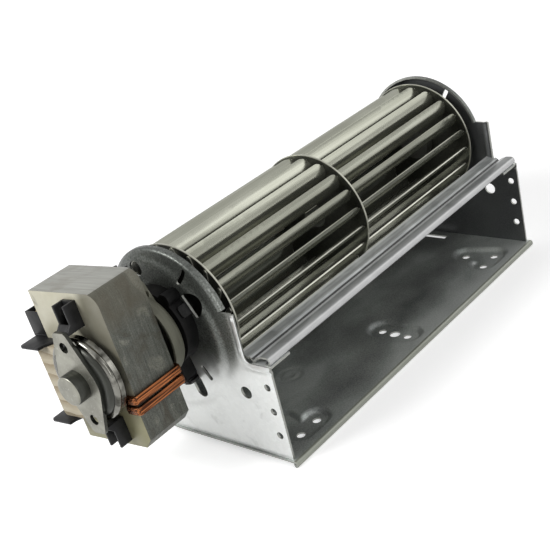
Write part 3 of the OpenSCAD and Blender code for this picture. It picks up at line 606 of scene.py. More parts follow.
pad_x, pad_front, pad_back = 81.2, -39.5, -25.5
rear_in, front_in = 4, 11
middle_half, end_half, press_w = 8.0, 7.3, 2.7
dimple_x, dimple_y = -48, -7.5
pad_holes = [(0, pad_front), (0, pad_back)]
for side in (-1, 1):
    pad_holes.append((side * (pad_x - rear_in), pad_back))
    pad_holes += [(side * x, pad_front) for x in (pad_x, pad_x - front_in)]


def pressed(x, y):
    """Depth of the pads, and of a shallow dimple, below the flat of the floor."""
    middle = from_line(x, y, 0, pad_back, 0, pad_front)
    x1 = abs(x)
    end = min(from_line(x1, y, pad_x - rear_in, pad_back, pad_x, pad_front),
              from_line(x1, y, pad_x - front_in, pad_front, pad_x, pad_front))
    depth = pad_drop * max(smooth((middle_half - middle) / press_w), smooth((end_half - end) / press_w))
    ring = math.hypot(x - dimple_x, y - dimple_y)
    return depth + 0.5 * smooth((6.5 - ring) / 2.0) - 0.35 * math.exp(-((ring - 3.0) / 1.2) ** 2)


floor_outline = [(-floor_half, s) for s in reversed(run)] + [(floor_half, s) for s in run]
floor_loops = [divided(floor_outline, 3.0)]
for x, y in pad_holes:
    floor_loops.append(hole(x, across_floor(y), 1.9, 0.5))
floor_loops.append(hole(0, across_floor((pad_front + pad_back) / 2), 2.5, 0.5))
floor_loops.append(divided(oblong(90, 93, across_floor(-5), across_floor(8)), 1.0))

pad_areas = ((-92, -62), (-11, 11), (62, 92))
area_front, area_back = across_floor(-49.5), across_floor(-15.5)


def on_pad(x, s, around=0.4):
    """Whether a place lies on one of the areas that get the finer points for their pads."""
    return (area_front - around < s < area_back + around
            and any(x0 - around < x < x1 + around for x0, x1 in pad_areas))


floor_points = [(x, s) for s in run[1:-1] for x in numpy.arange(-96.5, 97, 2.5)]
floor_points += grid(-97, 97.5, flat_from + 1.5, flat_to - 1, 2.4)
floor_points = [p for p in floor_points if not on_pad(*p)]
for x0, x1 in pad_areas:
    floor_points += grid(x0, x1, area_front, area_back, 0.85)
floor_points += grid(-56, -40, area_back, across_floor(0.5), 1.0)
floor_flat, floor_faces = filled(floor_loops, floor_points, 0.4)

floor_shell = Shell()
placed = []
for x, s in floor_flat:
    y, z = on_sheet(s)
    drop = pressed(x, y) if flat_from < s < flat_to else 0
    placed.append((x, y, z - drop))
floor_shell.add(placed, floor_faces)

satin = Finish("floor_sheet_zinc", 0.4, 0.34)
fine = satin.noise(1500, 2.0)
cloud = satin.noise(28, 3.0, (0.6, 1, 1))
dark = satin.mix(satin.steps(cloud, 0.36, 0.62), tone(136, 140, 138), tone(206, 209, 207))
# Painted light: the floor is lighter towards its front lip, where it lies out of the impeller's shade.
dark = satin.mix(satin.graded("Y", -2, -19.5, 0.45), dark, tone(238, 240, 238))
dark = satin.mix(satin.steps(fine, 0.2, 0.9), dark, tone(112, 114, 113), "OVERLAY")
lip_skin = satin.graded("Y", -17.6, -18.2)
hem_green = satin.mix(satin.noise(300, 3.0, (0.1, 1, 1)), tone(128, 131, 120), tone(170, 173, 162))
satin.finish(satin.mix(lip_skin, dark, hem_green), satin.spread(fine, 0.3, 0.44), fine, 0.012)

zinc_under = Finish("floor_sheet_underside", 0.7, 0.4)
cloud = zinc_under.noise(50, 4.0)
pale = zinc_under.mix(zinc_under.spangle(380), tone(150, 153, 152), tone(172, 175, 174))
pale = zinc_under.mix(zinc_under.steps(cloud, 0.2, 0.9), pale, tone(154, 156, 155))
zinc_under.finish(pale, None, zinc_under.noise(1400, 2.0), 0.012)

piece = floor_shell.piece("floor_sheet", at_shaft, (satin, zinc_under, cut_edge), thickness=floor_t,
                          sharp=50, upper=(0, 0, 1))
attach(piece, "housing")
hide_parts("floor_sheet")


# Tongue channel: a folded strip of 0.8 mm galvanised sheet along the front of the impeller,
# with a raised rear edge, a groove and a rolled front edge; it lies on a lug at each end.
channel_t = 0.8
channel_half = 96.9
folds = [(-33.7, -10.5), (-38.3, -11.3), (-38.9, -10.9), (-39.5, -11.3), (-41.0, -12.9), (-42.4, -10.9),
         (-44.4, -10.35), (-44.7, -10.05), (-47.0, -9.9)]
channel_line = rounded(folds, (0.3, 0.25, 0.3, 0.35, 0.5, 0.3, 0.3))[:-1]
channel_line += arc(-47.6, -11.4, 1.5, 90, 310, 0.45)
places = numpy.linspace(-channel_half, channel_half, 66)
channel = Shell().rows([[(x, y, z) for y, z in channel_line] for x in places], closed=False)

streaked = Finish("channel_zinc", 0.3, 0.34)
streak = streaked.noise(420, 4.0, (0.06, 1, 1), 0.3)
patch = streaked.noise(120, 5.0, (0.5, 1, 1), 0.8)
fine = streaked.noise(1600, 2.0)
body_tone = streaked.mix(streaked.steps(streak, 0.3, 0.7), tone(142, 145, 144), tone(172, 175, 174))
body_tone = streaked.mix(streaked.steps(patch, 0.5, 0.7), body_tone, tone(188, 191, 190))
body_tone = streaked.mix(streaked.steps(patch, 0.42, 0.28), body_tone, tone(118, 121, 121))
# Painted light and shade: each stripe along the channel stands for a highlight on an edge or ridge, or for
# shade in its groove and folds.
# Of each stripe along the channel: rear and front edge, how soft they are, strength and grey
painted_light_stripes = ((-1.0, -2.4, 0.5, 0.8, 224), (-4.2, -5.4, 0.6, 0.5, 116), (-7.45, -8.15, 0.15, 0.97, 14),
           (-9.6, -11.6, 0.2, 0.75, 214), (-12.4, -16.0, 0.4, 0.55, 92), (-16.2, -18.0, 0.3, 0.6, 220))
for back, front, soft, share, shade in painted_light_stripes:
    line = streaked.times(streaked.graded("Y", front - soft, front + soft, share),
                          streaked.graded("Y", back + soft, back - soft))
    body_tone = streaked.mix(line, body_tone, tone(shade))
streaked.finish(body_tone, streaked.spread(streak, 0.3, 0.44), fine, 0.015)

piece = channel.piece("tongue_channel", at_shaft, (streaked, streaked, cut_edge), thickness=channel_t,
                      sharp=60)
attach(piece, "housing")
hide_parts("tongue_channel")


# Impeller discs: three steel discs, 0.8 mm thick and 60 mm across, punched with a curved slit
# for every blade; the blades' tabs are bent over on the two outer ones.
disc_steel = Finish("disc_steel", 0.75, 0.36)
fine = disc_steel.noise(1300, 2.0)
# Painted shade and highlight: the disc's face is painted dark for the shade inside the impeller, and the
# band at its rim light as a highlight.
ring = disc_steel.round_shaft(29.5, 29.9)
painted_shade_web = disc_steel.mix(disc_steel.steps(fine, 0.3, 0.7), tone(54, 55, 50), tone(74, 75, 68))
edge = disc_steel.mix(disc_steel.noise(240, 3.0), tone(150, 150, 138), tone(182, 182, 170))
disc_steel.finish(disc_steel.mix(ring, painted_shade_web, edge), None, fine, 0.01)


def dressed(finish, *names):
    """Gives CAD solids whose shape is right a finish of their own."""
    for name in names:
        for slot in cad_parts[name].material_slots:
            slot.material = finish.material


dressed(disc_steel, "near_disc", "mid_disc", "far_disc")


# Blades: twenty strips of 0.6 mm steel, rolled to an 8 mm radius, with a rounded corner at one
# end of each section; a narrow neck passes the middle disc and a tab is bent over at each end.
blade_t, blade_r = 0.6, 8.0
blade_x, blade_y = 22.05, -3.38
blade_mid_angle, blade_half, tab_half = 58.5, 4.42, 2.43
neck, section_end = 0.45, 89.55
corner_r, small_r = 4.0, 0.5
bend_at, bend_r, tab_end = 90.0, 0.7, 92.7
first_blade, blade_count = 1.5, 20


def blade_outline():
    """A blade laid flat, along the shaft and across: its two sections, the neck and the end tabs."""
    right = arc(section_end - corner_r, corner_r - blade_half, corner_r, -90, 0, 0.8)
    left = arc(-section_end + small_r, small_r - blade_half, small_r, 180, 270, 0.3)
    mid_left = arc(-neck - corner_r, corner_r - blade_half, corner_r, -90, 0, 0.8)
    mid_right = arc(neck + small_r, small_r - blade_half, small_r, 180, 270, 0.3)
    tip = 1.1
    line = [(-section_end, -tab_half)] + left + mid_left + [(-neck, -tab_half), (neck, -tab_half)]
    line += mid_right + right + [(section_end, -tab_half)]
    line += arc(tab_end - tip, -tab_half + tip, tip, -90, 0, 0.5)
    line += arc(tab_end - tip, tab_half - tip, tip, 0, 90, 0.5)
    line += [(section_end, tab_half), (section_end, blade_half), (neck, blade_half), (neck, tab_half)]
    line += [(-neck, tab_half), (-neck, blade_half), (-section_end, blade_half), (-section_end, tab_half)]
    line += arc(-tab_end + tip, tab_half - tip, tip, 90, 180, 0.5)
    line += arc(-tab_end + tip, -tab_half + tip, tip, 180, 270, 0.5)
    return divided(line, 4.0)


def bent_blade(x, s, turn):
    """A place on the flat strip, rolled to the blade's arc and with its end tabs bent over."""
    r = blade_r
    past = abs(x) - bend_at
    if past > 0:
        f = min(past / bend_r, math.pi / 2)
        along = bend_at + bend_r * math.sin(f)
        r += bend_r * (1 - math.cos(f)) + max(0, past - bend_r * math.pi / 2)
        x = math.copysign(along, x)
    a = blade_mid_angle + math.degrees(s / blade_r)
    u, v = blade_x + r * cosd(a), blade_y + r * sind(a)
    return (x, *turned_to([(u, v)], turn)[0])


blade_points = [(x, s) for s in numpy.linspace(-3.9, 3.9, 9) for x in numpy.arange(-88, 89, 4.0)]
for x in (90.0, 90.35, 90.7, 91.1):
    blade_points += [(side * x, s) for side in (-1, 1) for s in (-1.8, -0.9, 0, 0.9, 1.8)]
blade_flat, blade_faces = filled([blade_outline()], blade_points, 0.3)

blade_steel = Finish("blade_steel", 0.85, 0.22)
grain = blade_steel.noise(300, 3.0, (0.02, 1, 1))
cloud = blade_steel.noise(60, 3.0, (0.25, 1, 1))
fine = blade_steel.noise(700, 2.0, (0.01, 1, 1))
warm = blade_steel.mix(blade_steel.steps(cloud, 0.3, 0.7), tone(144, 145, 133), tone(178, 179, 166))
warm = blade_steel.mix(blade_steel.steps(grain, 0.4, 0.8), warm, tone(124, 125, 112))
blade_steel.finish(warm, blade_steel.spread(cloud, 0.17, 0.27), fine, 0.001)

blade_rim = Finish("blade_cut_edge", 0.8, 0.3)
sheared = blade_rim.mix(blade_rim.noise(500, 2.0), tone(168, 168, 156), tone(196, 196, 186))
blade_rim.finish(sheared, None, blade_rim.noise(1500, 2.0), 0.01)

for i in range(blade_count):
    turn = first_blade + 360 / blade_count * i
    blade = Shell().add([bent_blade(x, s, turn) for x, s in blade_flat], blade_faces)
    node = f"blade_{i + 1:02d}"
    piece = blade.piece(node, at_shaft, (blade_steel, blade_steel, blade_rim), thickness=blade_t, sharp=50)
    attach(piece, "impeller")
    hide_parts(node)


# Shafts, hubs and rotor: a ground steel shaft through the motor into a turned drive hub, a stub
# shaft in the far hub, and the rotor of stacked iron between its two cast end rings.
shaft_steel = Finish("ground_shaft", 0.95, 0.22)
shaft_steel.grained(tone(150, 152, 154), tone(186, 188, 190), 0.004, 2600, 2.0, (1, 0.05, 0.05))
dressed(shaft_steel, "motor_shaft", "far_stub_shaft")

hub_metal = Finish("turned_hub", 0.85, 0.34)
hub_metal.grained(tone(92, 92, 88), tone(124, 124, 118), 0.01, 1800, 2.0, (1, 0.1, 0.1))
dressed(hub_metal, "drive_hub", "far_hub", "rotor_end_rings")

rotor_iron = Finish("rotor_iron", 0.7, 0.45)
rotor_iron.grained(tone(58, 54, 50), tone(92, 88, 82), 0.03, 3000, 1.0, (1, 0.02, 0.02))
dressed(rotor_iron, "rotor_core")


# Bearing bushes: turned rings of sintered bronze soaked in oil, one pressed into each bracket of
# the motor and one into the far rubber mount; the impeller's shafts run in them.
bronze = Finish("sintered_bronze", 0.85, 0.45).grained(tone(120, 88, 52), tone(158, 120, 76), 0.02, 2400)
dressed(bronze, "far_bearing_bush", "front_bearing_bush", "rear_bearing_bush")


# Rubber mounts: moulded black rubber. One sits in the far plate's eye round its bush; the other
# sits between the motor and its plate, held by the plate's lugs, with two lobes under them.
rubber = Finish("moulded_rubber", 0.0, 0.5, 0.12)
fine = rubber.noise(900, 4.0)
dust = rubber.noise(140, 4.0)
black = rubber.mix(rubber.steps(dust, 0.5, 0.8), tone(14, 14, 14), tone(30, 29, 28))
rubber.finish(black, rubber.spread(dust, 0.32, 0.6), fine, 0.03)

grommet = [(97.0, 5.1), (97.0, 15.4), (97.5, 15.9), (99.5, 15.9), (99.55, 16.9), (100.2, 16.9),
           (101.1, 16.3), (101.5, 15.4), (101.5, 12.5), (100.6, 11.6), (100.6, 8.6), (101.5, 7.8),
           (101.5, 5.1)]
piece = Shell().turned(grommet).piece("far_bearing_mount", at_shaft, (rubber,), edge=0.2, sharp=60)
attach(piece, "housing")
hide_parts("far_bearing_mount")


def lobe(angle, axis, reach, half):
    """Distance from the shaft to the outline of a round-ended lobe, along a ray at an angle."""
    off = abs((angle - axis + 180) % 360 - 180)
    if off > 80:
        return 0
    middle = reach - half
    if off < math.degrees(math.atan2(half, middle)):
        return middle * cosd(off) + math.sqrt(max(0, half ** 2 - (middle * sind(off)) ** 2))
    return half / sind(off)


mount_r, mount_bore_r, neck_r, lobe_half = 16.9, 7.05, 15.85, 3
mount_line = []
for a in range(360):
    r = max(mount_r, lobe(a, -105, 25.6, lobe_half), lobe(a, 124, 20, lobe_half))
    mount_line.append((r * cosd(a), r * sind(a)))
mount_bore = hole(0, 0, mount_bore_r, 0.8)
mount = Shell().prism([mount_line, mount_bore], -106.1, -99.55)
mount.prism([hole(0, 0, neck_r, 0.8), mount_bore], -99.5, -98.5)
piece = mount.piece("motor_rubber_mount", at_shaft, (rubber,), edge=0.4)
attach(piece, "housing")
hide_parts("motor_rubber_mount")


# Lamination stack: punched electrical steel sheets, varnished and pressed into a block. Two pole
# limbs stand round the rotor, and a slimmer leg behind them carries the coil.
stack_mid, half_stack, lean = -127.2, 10.8, 6.0
pole_front, pole_back, stack_half_h, corner_in = -16.8, 25.0, 33.5, 6.0


def in_motor(x, y, z):
    """A place in the motor, drawn square round its stack, then leaned back and set on the shaft."""
    return at_shaft(stack_mid + x, y * cosd(lean) + z * sind(lean), -y * sind(lean) + z * cosd(lean))


stack_line = [(pole_front, -12.6), (pole_front, stack_half_h - corner_in)]
stack_line += arc(pole_front + corner_in, stack_half_h - corner_in, corner_in, 180, 90, 0.9)[1:]
stack_line += [(pole_back, stack_half_h), (pole_back, -stack_half_h), (pole_front + 5.6, -stack_half_h),
               (pole_front + 1.6, -stack_half_h + 4), (pole_front + 1.6, -12.6)]
window = divided(oblong(12.85, 18.4, -22.5, 12.7), 2.4)
ring_slot = divided(oblong(-11.8, -9.65, -17.15, -8.85), 1.2)
screw_z, screw_hole_r = 27.0, 1.5
stack_loops = [divided(stack_line, 2.4), hole(0, 0, 11.4, 0.8), window, ring_slot]
stack_loops += [hole(0, z, screw_hole_r, 0.5) for z in (screw_z, -screw_z)]
stack = Shell().prism(stack_loops, -half_stack, half_stack)

# Painted light and shade: the stack's sides and its top and bottom are the same sheet edges, painted as a
# darker copy on the sides for shade and a lighter one on the top and bottom for light; the sides also grow
# darker towards the top.
plies = Finish("stack_sides_painted_shade", 0.35, 0.5)
sheet_lines = plies.noise(1500, 3.0, (1, 0.03, 0.03))
speckle = plies.noise(2200, 2.0)
cloud = plies.noise(130, 5.0, (1, 1, 0.6), 0.8)
painted_shade_side_tone = plies.mix(plies.steps(sheet_lines, 0.3, 0.7), tone(78, 80, 74), tone(110, 112, 104))
painted_shade_side_tone = plies.mix(plies.steps(cloud, 0.5, 0.66), painted_shade_side_tone, tone(76, 72, 61))
painted_shade_side_tone = plies.mix(plies.steps(cloud, 0.44, 0.32), painted_shade_side_tone, tone(136, 136, 125))
painted_shade_side_tone = plies.mix(plies.steps(speckle, 0.3, 0.8), painted_shade_side_tone, tone(118, 118, 112), "OVERLAY")
painted_shade_side_tone = plies.mix(plies.graded("Z", 74, 84, 0.5), painted_shade_side_tone, tone(92, 88, 74))
plies.finish(painted_shade_side_tone, None, sheet_lines, 0.03)

plies_top = Finish("stack_ends", 0.35, 0.45)
sheet_lines = plies_top.noise(1500, 3.0, (1, 0.03, 0.03))
cloud = plies_top.noise(70, 5.0, (1, 0.5, 1), 0.6)
end_tone = plies_top.mix(plies_top.steps(sheet_lines, 0.3, 0.7), tone(138, 138, 131), tone(164, 164, 157))
end_tone = plies_top.mix(plies_top.steps(cloud, 0.5, 0.75), end_tone, tone(116, 112, 99))
plies_top.finish(end_tone, None, sheet_lines, 0.03)

varnish = Finish("stack_faces", 0.1, 0.42)
cloud = varnish.noise(110, 5.0, warp=0.4)
blotch = varnish.noise(60, 3.0, warp=0.8)
cream = varnish.mix(varnish.steps(cloud, 0.3, 0.75), tone(200, 197, 178), tone(180, 175, 152))
cream = varnish.mix(varnish.steps(blotch, 0.62, 0.72), cream, tone(120, 114, 98))
# Painted shadow: the upper part of the stack's faces on the pole side is darkened where the upper foot, the
# strap and the ring cast their shadow.
painted_shadow = varnish.times(varnish.graded("Y", 33, 27, 0.66), varnish.graded("Z", 48, 60))
cream = varnish.mix(painted_shadow, cream, tone(64, 62, 52))
olive = varnish.mix(cloud, tone(128, 124, 92), tone(158, 154, 122))
lower = varnish.graded("Z", 52, 40)
varnish.finish(varnish.mix(lower, cream, olive), None, varnish.noise(900, 3.0), 0.02)

piece = stack.piece("lamination_stack", in_motor, (plies, plies_top, varnish), edge=0.25, sharp=50)
# Painted light and shade: faces across the shaft take the varnish, level faces the lighter copy, all others
# the darker copy.
for face in piece.data.polygons:
    level = abs(face.normal.z) > 0.97
    face.material_index = 2 if abs(face.normal.x) > 0.8 else 1 if level else 0
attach(piece, "housing")
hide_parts("lamination_stack")


# Bobbin: black moulded nylon with a flange above and below the winding, and an open box on the
# upper flange that holds the two terminals.
def black_nylon(name, rough, shine, wear_size, black, worn, smoothest, dullest):
    """Moulded nylon with a fine grain, greyer and duller where it is worn."""
    nylon = Finish(name, 0.0, rough, shine)
    wear = nylon.noise(wear_size, 4.0)
    shown = nylon.mix(nylon.steps(wear, 0.45, 0.8), black, worn)
    return nylon.finish(shown, nylon.spread(wear, smoothest, dullest), nylon.noise(1100, 3.0), 0.015)


def upright(u, v, h):
    return (u, v, h)


bobbin_black = black_nylon("black_nylon", 0.42, 0.18, 160, tone(30, 30, 31), tone(56, 56, 56), 0.34, 0.56)
flange_x, flange_y0, flange_y1 = 19.1, 13.0, 33.6
cut_r = 8.15
flange = [(-flange_x + 1, flange_y1), (-flange_x, flange_y1 - 1)]
flange += arc(-flange_x, flange_y0, cut_r, 90, 0, 0.8) + arc(flange_x, flange_y0, cut_r, 180, 90, 0.8)
flange += [(flange_x, flange_y1 - 1), (flange_x - 1, flange_y1)]
flange_t, flange_z0, flange_z1 = 1.2, -22.5, 11.5
tube_x, tube_y0, tube_y1, tube_wall = 11.6, 17.6, 25.8, 0.75
tube_out = oblong(-tube_x, tube_x, tube_y0, tube_y1)
tube_in = oblong(tube_wall - tube_x, tube_x - tube_wall, tube_y0 + tube_wall, tube_y1 - tube_wall)
bobbin = Shell()
for z in (flange_z0, flange_z1):
    bobbin.prism([divided(flange, 2.0), divided(tube_in, 2.0)], z, z + flange_t, upright)
bobbin.prism([tube_out, tube_in], flange_z0 + flange_t, flange_z1, upright)
box_out = oblong(-10.8, -2.8, 25.3, 33.9)
box_in = oblong(-10.0, -3.6, 26.1, 33.1)
box_floor, box_top = 13.7, 23.7
bobbin.prism([box_out, box_in], box_floor, box_top, upright)
bobbin.prism([box_out], flange_z1 + flange_t, box_floor, upright)
piece = bobbin.piece("bobbin", in_motor, (bobbin_black,), edge=0.22)
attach(piece, "housing")
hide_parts("bobbin")


# Coil: copper wire on the bobbin, wound over with bands of cream cloth tape, creased and crossed
# by darker brown bands; its inner corners are drawn in round the bearing bowls.
coil_x, coil_y0, coil_y1 = 15.6, 13.15, 30.4
coil_z0, coil_z1 = -21.2, 11.4
tape_w = 6.7
bowl_clear, bowl_from = 18.6, 12.4
leg_y = 22.5


def coil_ring(z):
    """Outline of the taped coil at one height, drawn in at the seams and round the bowls."""
    band = (z - coil_z0) / tape_w
    seam = abs(band - round(band))
    drawn_in, seam_depth = 0.28, 0.16
    swell = drawn_in * smooth((z - coil_z0) / 2.5) * smooth((coil_z1 - z) / 2.5) - drawn_in
    swell -= seam_depth * math.exp(-(seam / 0.05) ** 2)
    outer_r, inner_r = 3.2, 2
    line = arc(coil_x - outer_r, coil_y1 - outer_r, outer_r, 0, 90, 0.7)
    line += arc(-coil_x + outer_r, coil_y1 - outer_r, outer_r, 90, 180, 0.7)
    line += arc(-coil_x + inner_r, coil_y0 + inner_r, inner_r, 180, 270, 0.7)
    line += arc(coil_x - inner_r, coil_y0 + inner_r, inner_r, 270, 360, 0.7)
    out = []
    for x, y in divided(line, 0.9):
        away = math.hypot(x, y - leg_y)
        x, y = x + swell * x / away, y + swell * (y - leg_y) / away
        if abs(x) > bowl_from and abs(z) < bowl_clear:
            y = max(y, math.sqrt(bowl_clear ** 2 - z ** 2))
        out.append((x, y, z))
    return out


def leg_side(x, y, z):
    """The nearest place just off the bobbin's tube."""
    off = 0.1
    x = min(tube_x + off, max(-tube_x - off, x))
    return (x, min(tube_y1 + off, max(tube_y0 - off, y)), z)


rings = [coil_ring(z) for z in numpy.linspace(coil_z0, coil_z1, 68)]
lowest, highest = ([leg_side(*p) for p in rings[k]] for k in (0, -1))
coil = Shell().rows([lowest] + rings + [highest, lowest])

tape = Finish("cloth_tape", 0.0, 0.62, 0.3)
weave = tape.noise(1400, 3.0)
fold = tape.noise(230, 5.0, (0.25, 0.25, 1), 0.9)
waves = {"Vector": tape.place, "Scale": 58.0, "Distortion": 3.2, "Detail": 3.0, "Detail Scale": 0.9}
band = tape.node("TexWave", waves, bands_direction="Z", wave_profile="SAW").outputs[1]
cloth = tape.mix(tape.steps(fold, 0.3, 0.72), tone(206, 198, 178), tone(184, 173, 149))
cloth = tape.mix(tape.steps(band, 0.35, 1.0, 0.9), cloth, tone(138, 120, 92))
cloth = tape.mix(tape.steps(weave, 0.3, 0.75, 0.4), cloth, tone(192, 184, 164))
tape.finish(cloth, None, fold, 0.16)
piece = coil.piece("coil_winding", in_motor, (tape,), weld=0.01, sharp=60)
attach(piece, "housing")
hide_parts("coil_winding")


# Terminals: two brass tabs, 2.8 mm wide and 0.5 mm thick, stamped with a narrower tip and a hole
# near it, and pushed into the bobbin's box.
brass = Finish("terminal_brass", 0.9, 0.32)
brass.grained(tone(150, 128, 78), tone(196, 172, 112), 0.01, 400, 4.0)
tab_t = 0.5
tab = [(28.2, box_floor), (31.0, box_floor), (31.0, 21.8), (30.4, 22.7), (28.8, 22.7), (28.2, 21.8)]
tab_hole = hole(29.6, 19.7, 0.7, 0.3)
tabs = Shell()
for x in (-8.38, -5.72):
    tabs.prism([divided(tab, 0.8), tab_hole], x, x + tab_t)
piece = tabs.piece("terminal_blades", in_motor, (brass,), edge=0.08)
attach(piece, "housing")
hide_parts("terminal_blades")


# Shading rings: two closed loops of copper bar round the tip of one pole. Each is pressed from
# bar with a shallow groove along its side.
copper = Finish("copper_bar", 0.9, 0.24)
scuff = copper.noise(1900, 2.0, (0.02, 1, 1))
heat = copper.noise(60, 3.0)
red = copper.mix(copper.steps(scuff, 0.42, 0.62), tone(54, 28, 16), tone(172, 106, 64))
copper.finish(copper.mix(copper.steps(heat, 0.5, 0.8), red, tone(82, 44, 28)), None, scuff, 0.06)

ring_x, ring_y0, ring_y1 = 12.9, -18.8, -9.8
ring_t, ring_h, turn_r = 2.0, 3.5, 1.0
side_line = [(-0.5 + 0.05 * abs(cosd(9 * k)), 0.38 - 0.76 * k / 20) for k in range(21)]
bar = [(-0.3, 0.5)] + side_line + [(-0.3, -0.5), (0.3, -0.5), (0.5, -0.34), (0.5, 0.34), (0.3, 0.5)]
bar = [(u * ring_t, v * ring_h) for u, v in bar]


def bar_loop(middle_z):
    """Rings of points along the closed bar round the pole, square to its middle line."""
    x1 = ring_x - ring_t / 2 - turn_r
    y0, y1 = ring_y0 + ring_t / 2 + turn_r, ring_y1 - ring_t / 2 - turn_r
    rings = []
    for cx, cy, a in ((x1, y1, 0), (-x1, y1, 90), (-x1, y0, 180), (x1, y0, 270)):
        for f in (a, a + 22.5, a + 45, a + 67.5, a + 90):
            rings.append([(cx + (turn_r - u) * cosd(f), cy + (turn_r - u) * sind(f), middle_z + v)
                          for u, v in bar])
    return rings + rings[:1]


for node, z in (("upper_shading_ring", -10.75), ("lower_shading_ring", -15.25)):
    loop = Shell().rows(bar_loop(z))
    piece = loop.piece(node, in_motor, (copper,), edge=0.12, weld=0.005, sharp=45)
    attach(piece, "housing")
    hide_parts(node)


# Bearing brackets: die-cast zinc, each a strap across the motor with a bowl behind it and a cap
# in front that holds the bush; the front bowl carries a polished ring.
cast = Finish("cast_zinc", 0.6, 0.36)
cloud = cast.noise(110, 4.0, warp=0.3)
fine = cast.noise(900, 3.0)
pale = cast.mix(cast.steps(cloud, 0.35, 0.7), tone(156, 155, 144), tone(118, 117, 108))
cast.finish(cast.mix(cast.steps(fine, 0.6, 0.85), pale, tone(182, 181, 171)), None, fine, 0.03)

# Painted shade: the front bracket's faces that don't face along the shaft, on its bowl, cap and strap
# edges, get this darker copy of the cast zinc, as shade.
cast_zinc_painted_shade = Finish("cast_zinc_sides_painted_shade", 0.7, 0.32)
cast_zinc_painted_shade.grained(tone(34, 35, 32), tone(72, 73, 67), 0.015, 900, 3.0, (1, 0.1, 0.1))
cast_olive = Finish("cast_zinc_rear_bowl", 0.35, 0.5, 0.3)
cast_olive.grained(tone(82, 82, 72), tone(122, 122, 108), 0.015, 900, 3.0, (1, 0.1, 0.1))

strap_half_w, strap_half_l, eye_r = 3.9, 22.0, 11.5
strap_x0, strap_x1 = 8.5, 10.0
hub_r, strap_hole_z, strap_hole_r = 5.0, 15.8, 2.3
front_bowl_r, rear_bowl_r = 16.0, 18.3
bowl_x0, bowl_x1, bowl_wall = 2.2, 7.4, 1.2
outer_round, inner_round = 2.4, 1.3
cap_r, cap_x0, cap_x1 = 6.3, 9.9, 15.5


def strap_outline():
    """Strap with its round middle, drawn out to two narrower ends."""
    end = math.hypot(strap_half_w, strap_half_l)
    bend = math.degrees(math.atan2(strap_half_w, strap_half_l) + math.acos(eye_r / end))
    side = [(strap_half_w - 1, strap_half_l), (strap_half_w, strap_half_l - 1)]
    side += [(eye_r * sind(a), eye_r * cosd(a)) for a in numpy.linspace(bend, 180 - bend, 16)]
    side += [(strap_half_w, 1 - strap_half_l), (strap_half_w - 1, -strap_half_l)]
    return divided(side + [(-x, -y) for x, y in side], 1.6)


def outward_of_front(x, y, z):
    """A place measured outwards from the front face of the stack."""
    return in_motor(-half_stack - x, y, z)


def outward_of_rear(x, y, z):
    """A place measured outwards from the rear face of the stack."""
    return in_motor(half_stack + x, y, z)


def bracket(bowl_r, cap_hole_r):
    """Strap, bowl and cap, outwards from the face of the stack."""
    loops = [strap_outline(), hole(0, 0, hub_r, 0.8)]
    loops += [hole(0, z, strap_hole_r, 0.4) for z in (strap_hole_z, -strap_hole_z)]
    shell = Shell().prism(loops, strap_x0, strap_x1)
    in_r = bowl_r - bowl_wall
    bowl = [(strap_x0, hub_r)]
    bowl += [(strap_x0 - outer_round * (1 - sind(f)), bowl_r - outer_round * (1 - cosd(f)))
             for f in range(90, -1, -15)]
    bowl += [(bowl_x0, bowl_r), (bowl_x0 - 0.1, bowl_r - 0.1), (bowl_x0 - 0.1, in_r + 0.1), (bowl_x0, in_r)]
    bowl += [(bowl_x1 - inner_round * (1 - sind(f)), in_r - inner_round * (1 - cosd(f)))
             for f in range(0, 91, 15)]
    shell.turned(bowl + [(bowl_x1, hub_r)], mark=1)
    cap = [(cap_x0, cap_r), (strap_x1, cap_r)]
    cap += [(cap_x1 - 1 + sind(f), cap_r - 1 + cosd(f)) for f in range(0, 91, 18)]
    cap += [(cap_x1, cap_hole_r), (cap_x1 - 1, cap_hole_r), (cap_x1 - 1, hub_r), (cap_x0, hub_r)]
    return shell.turned(cap, 64)


for node, bowl_r, lay, cap_hole_r, skins in (
        ("front_bracket", front_bowl_r, outward_of_front, 0.0, (cast, cast_zinc_painted_shade)),
        ("rear_bracket", rear_bowl_r, outward_of_rear, 2.75, (cast_olive, cast_olive))):
    piece = bracket(bowl_r, cap_hole_r).piece(node, lay, skins, edge=0.18, weld=0.002, sharp=42)
    # Painted shade: faces that don't face along the shaft get the second finish, on the front bracket its
    # darker copy of the zinc.
    for face in piece.data.polygons:
        if abs(face.normal.x) < 0.6:
            face.material_index = 1
    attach(piece, "housing")
    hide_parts(node)

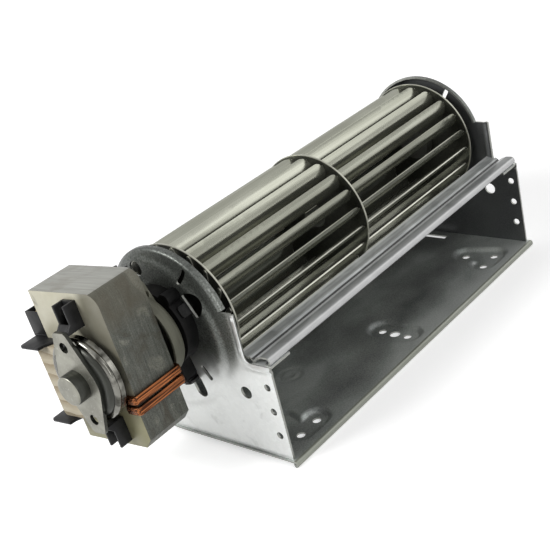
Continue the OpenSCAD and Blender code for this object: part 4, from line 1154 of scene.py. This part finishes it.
mirror = Finish("polished_ring", 1.0, 0.17)
lines = mirror.noise(900, 2.0, (1, 0.06, 0.06))
stain = mirror.noise(130, 4.0, warp=0.5)
shown = mirror.mix(lines, tone(104, 103, 97), tone(146, 145, 138))
mirror.finish(mirror.mix(mirror.steps(stain, 0.45, 0.62), shown, tone(62, 61, 56)), None, lines, 0.004)
band_x0, band_x1, band_in, band_out = 3.0, 7.2, front_bowl_r + 0.05, 17.6
band = [(band_x0, band_in), (band_x0, band_out)]
band += [(6.0 + 1.2 * sind(f), 16.9 + 1.1 * cosd(f)) for f in range(-70, 76, 12)]
band += [(band_x1, 16.5), (band_x1, band_in)]
piece = Shell().turned(band).piece("polished_ring", outward_of_front, (mirror,), sharp=50)
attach(piece, "housing")
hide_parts("polished_ring")


# Feet: four black nylon brackets between the stack and the ends of the straps, each with two
# sloping side walls, screwed through the stack.
foot_black = black_nylon("foot_nylon", 0.34, 0.2, 190, tone(26, 26, 27), tone(46, 46, 46), 0.3, 0.52)
foot_w, wall_t = 7.5, 1.2
wall = [(0, 20), (0, 31), (5.8, 31), (5.8, 23.5), (8.5, 20.8), (8.5, 20)]
base = [(0, 20), (8.5, 20), (8.5, 20.8), (5.8, 23.5), (4.62, 21.2), (1.5, 21.2), (1.5, 31), (0, 31)]


def across(u, v, h):
    return (u, h, v)


foot = Shell()
for y in (-foot_w / 2, foot_w / 2 - wall_t):
    foot.prism([wall], y, y + wall_t, across)
inner = foot_w / 2 - wall_t + 0.02
foot.prism([base], -inner, inner, across)
for node, lay, up in (("front_upper_foot", outward_of_front, 1), ("front_lower_foot", outward_of_front, -1),
                      ("rear_upper_foot", outward_of_rear, 1), ("rear_lower_foot", outward_of_rear, -1)):
    piece = foot.piece(node, lambda x, y, z: lay(x, y, z * up), (foot_black,), edge=0.25)
    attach(piece, "housing")
    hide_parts(node)


# Long screws: two zinc-plated 3 mm screws through the feet and the stack, each with a round head
# in front and a nut behind.
plated = Finish("plated_screw", 0.9, 0.3).grained(tone(150, 150, 146), tone(205, 205, 200), 0.01, 700)
shank = [(-14.5, 0.0), (-14.5, 0.7), (-14.3, 1.3), (-13.9, 1.9), (-13.3, 2.3), (-12.3, 2.4), (-12.3, 1.5),
         (14.4, 1.5), (14.5, 1.3), (14.5, 0.0)]
nut_r = 2.4
nut = [(nut_r * cosd(60 * k), nut_r * sind(60 * k)) for k in range(6)]
screw = Shell().turned(shank, 36)
screw.prism([nut, hole(0, 0, 1.52, 0.5)], 12.3, 14.3)
for node, height in (("upper_screw", screw_z), ("lower_screw", -screw_z)):
    piece = screw.piece(node, lambda x, y, z: in_motor(x, y, z + height), (plated,), edge=0.1, weld=0.002)
    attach(piece, "housing")
    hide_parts(node)
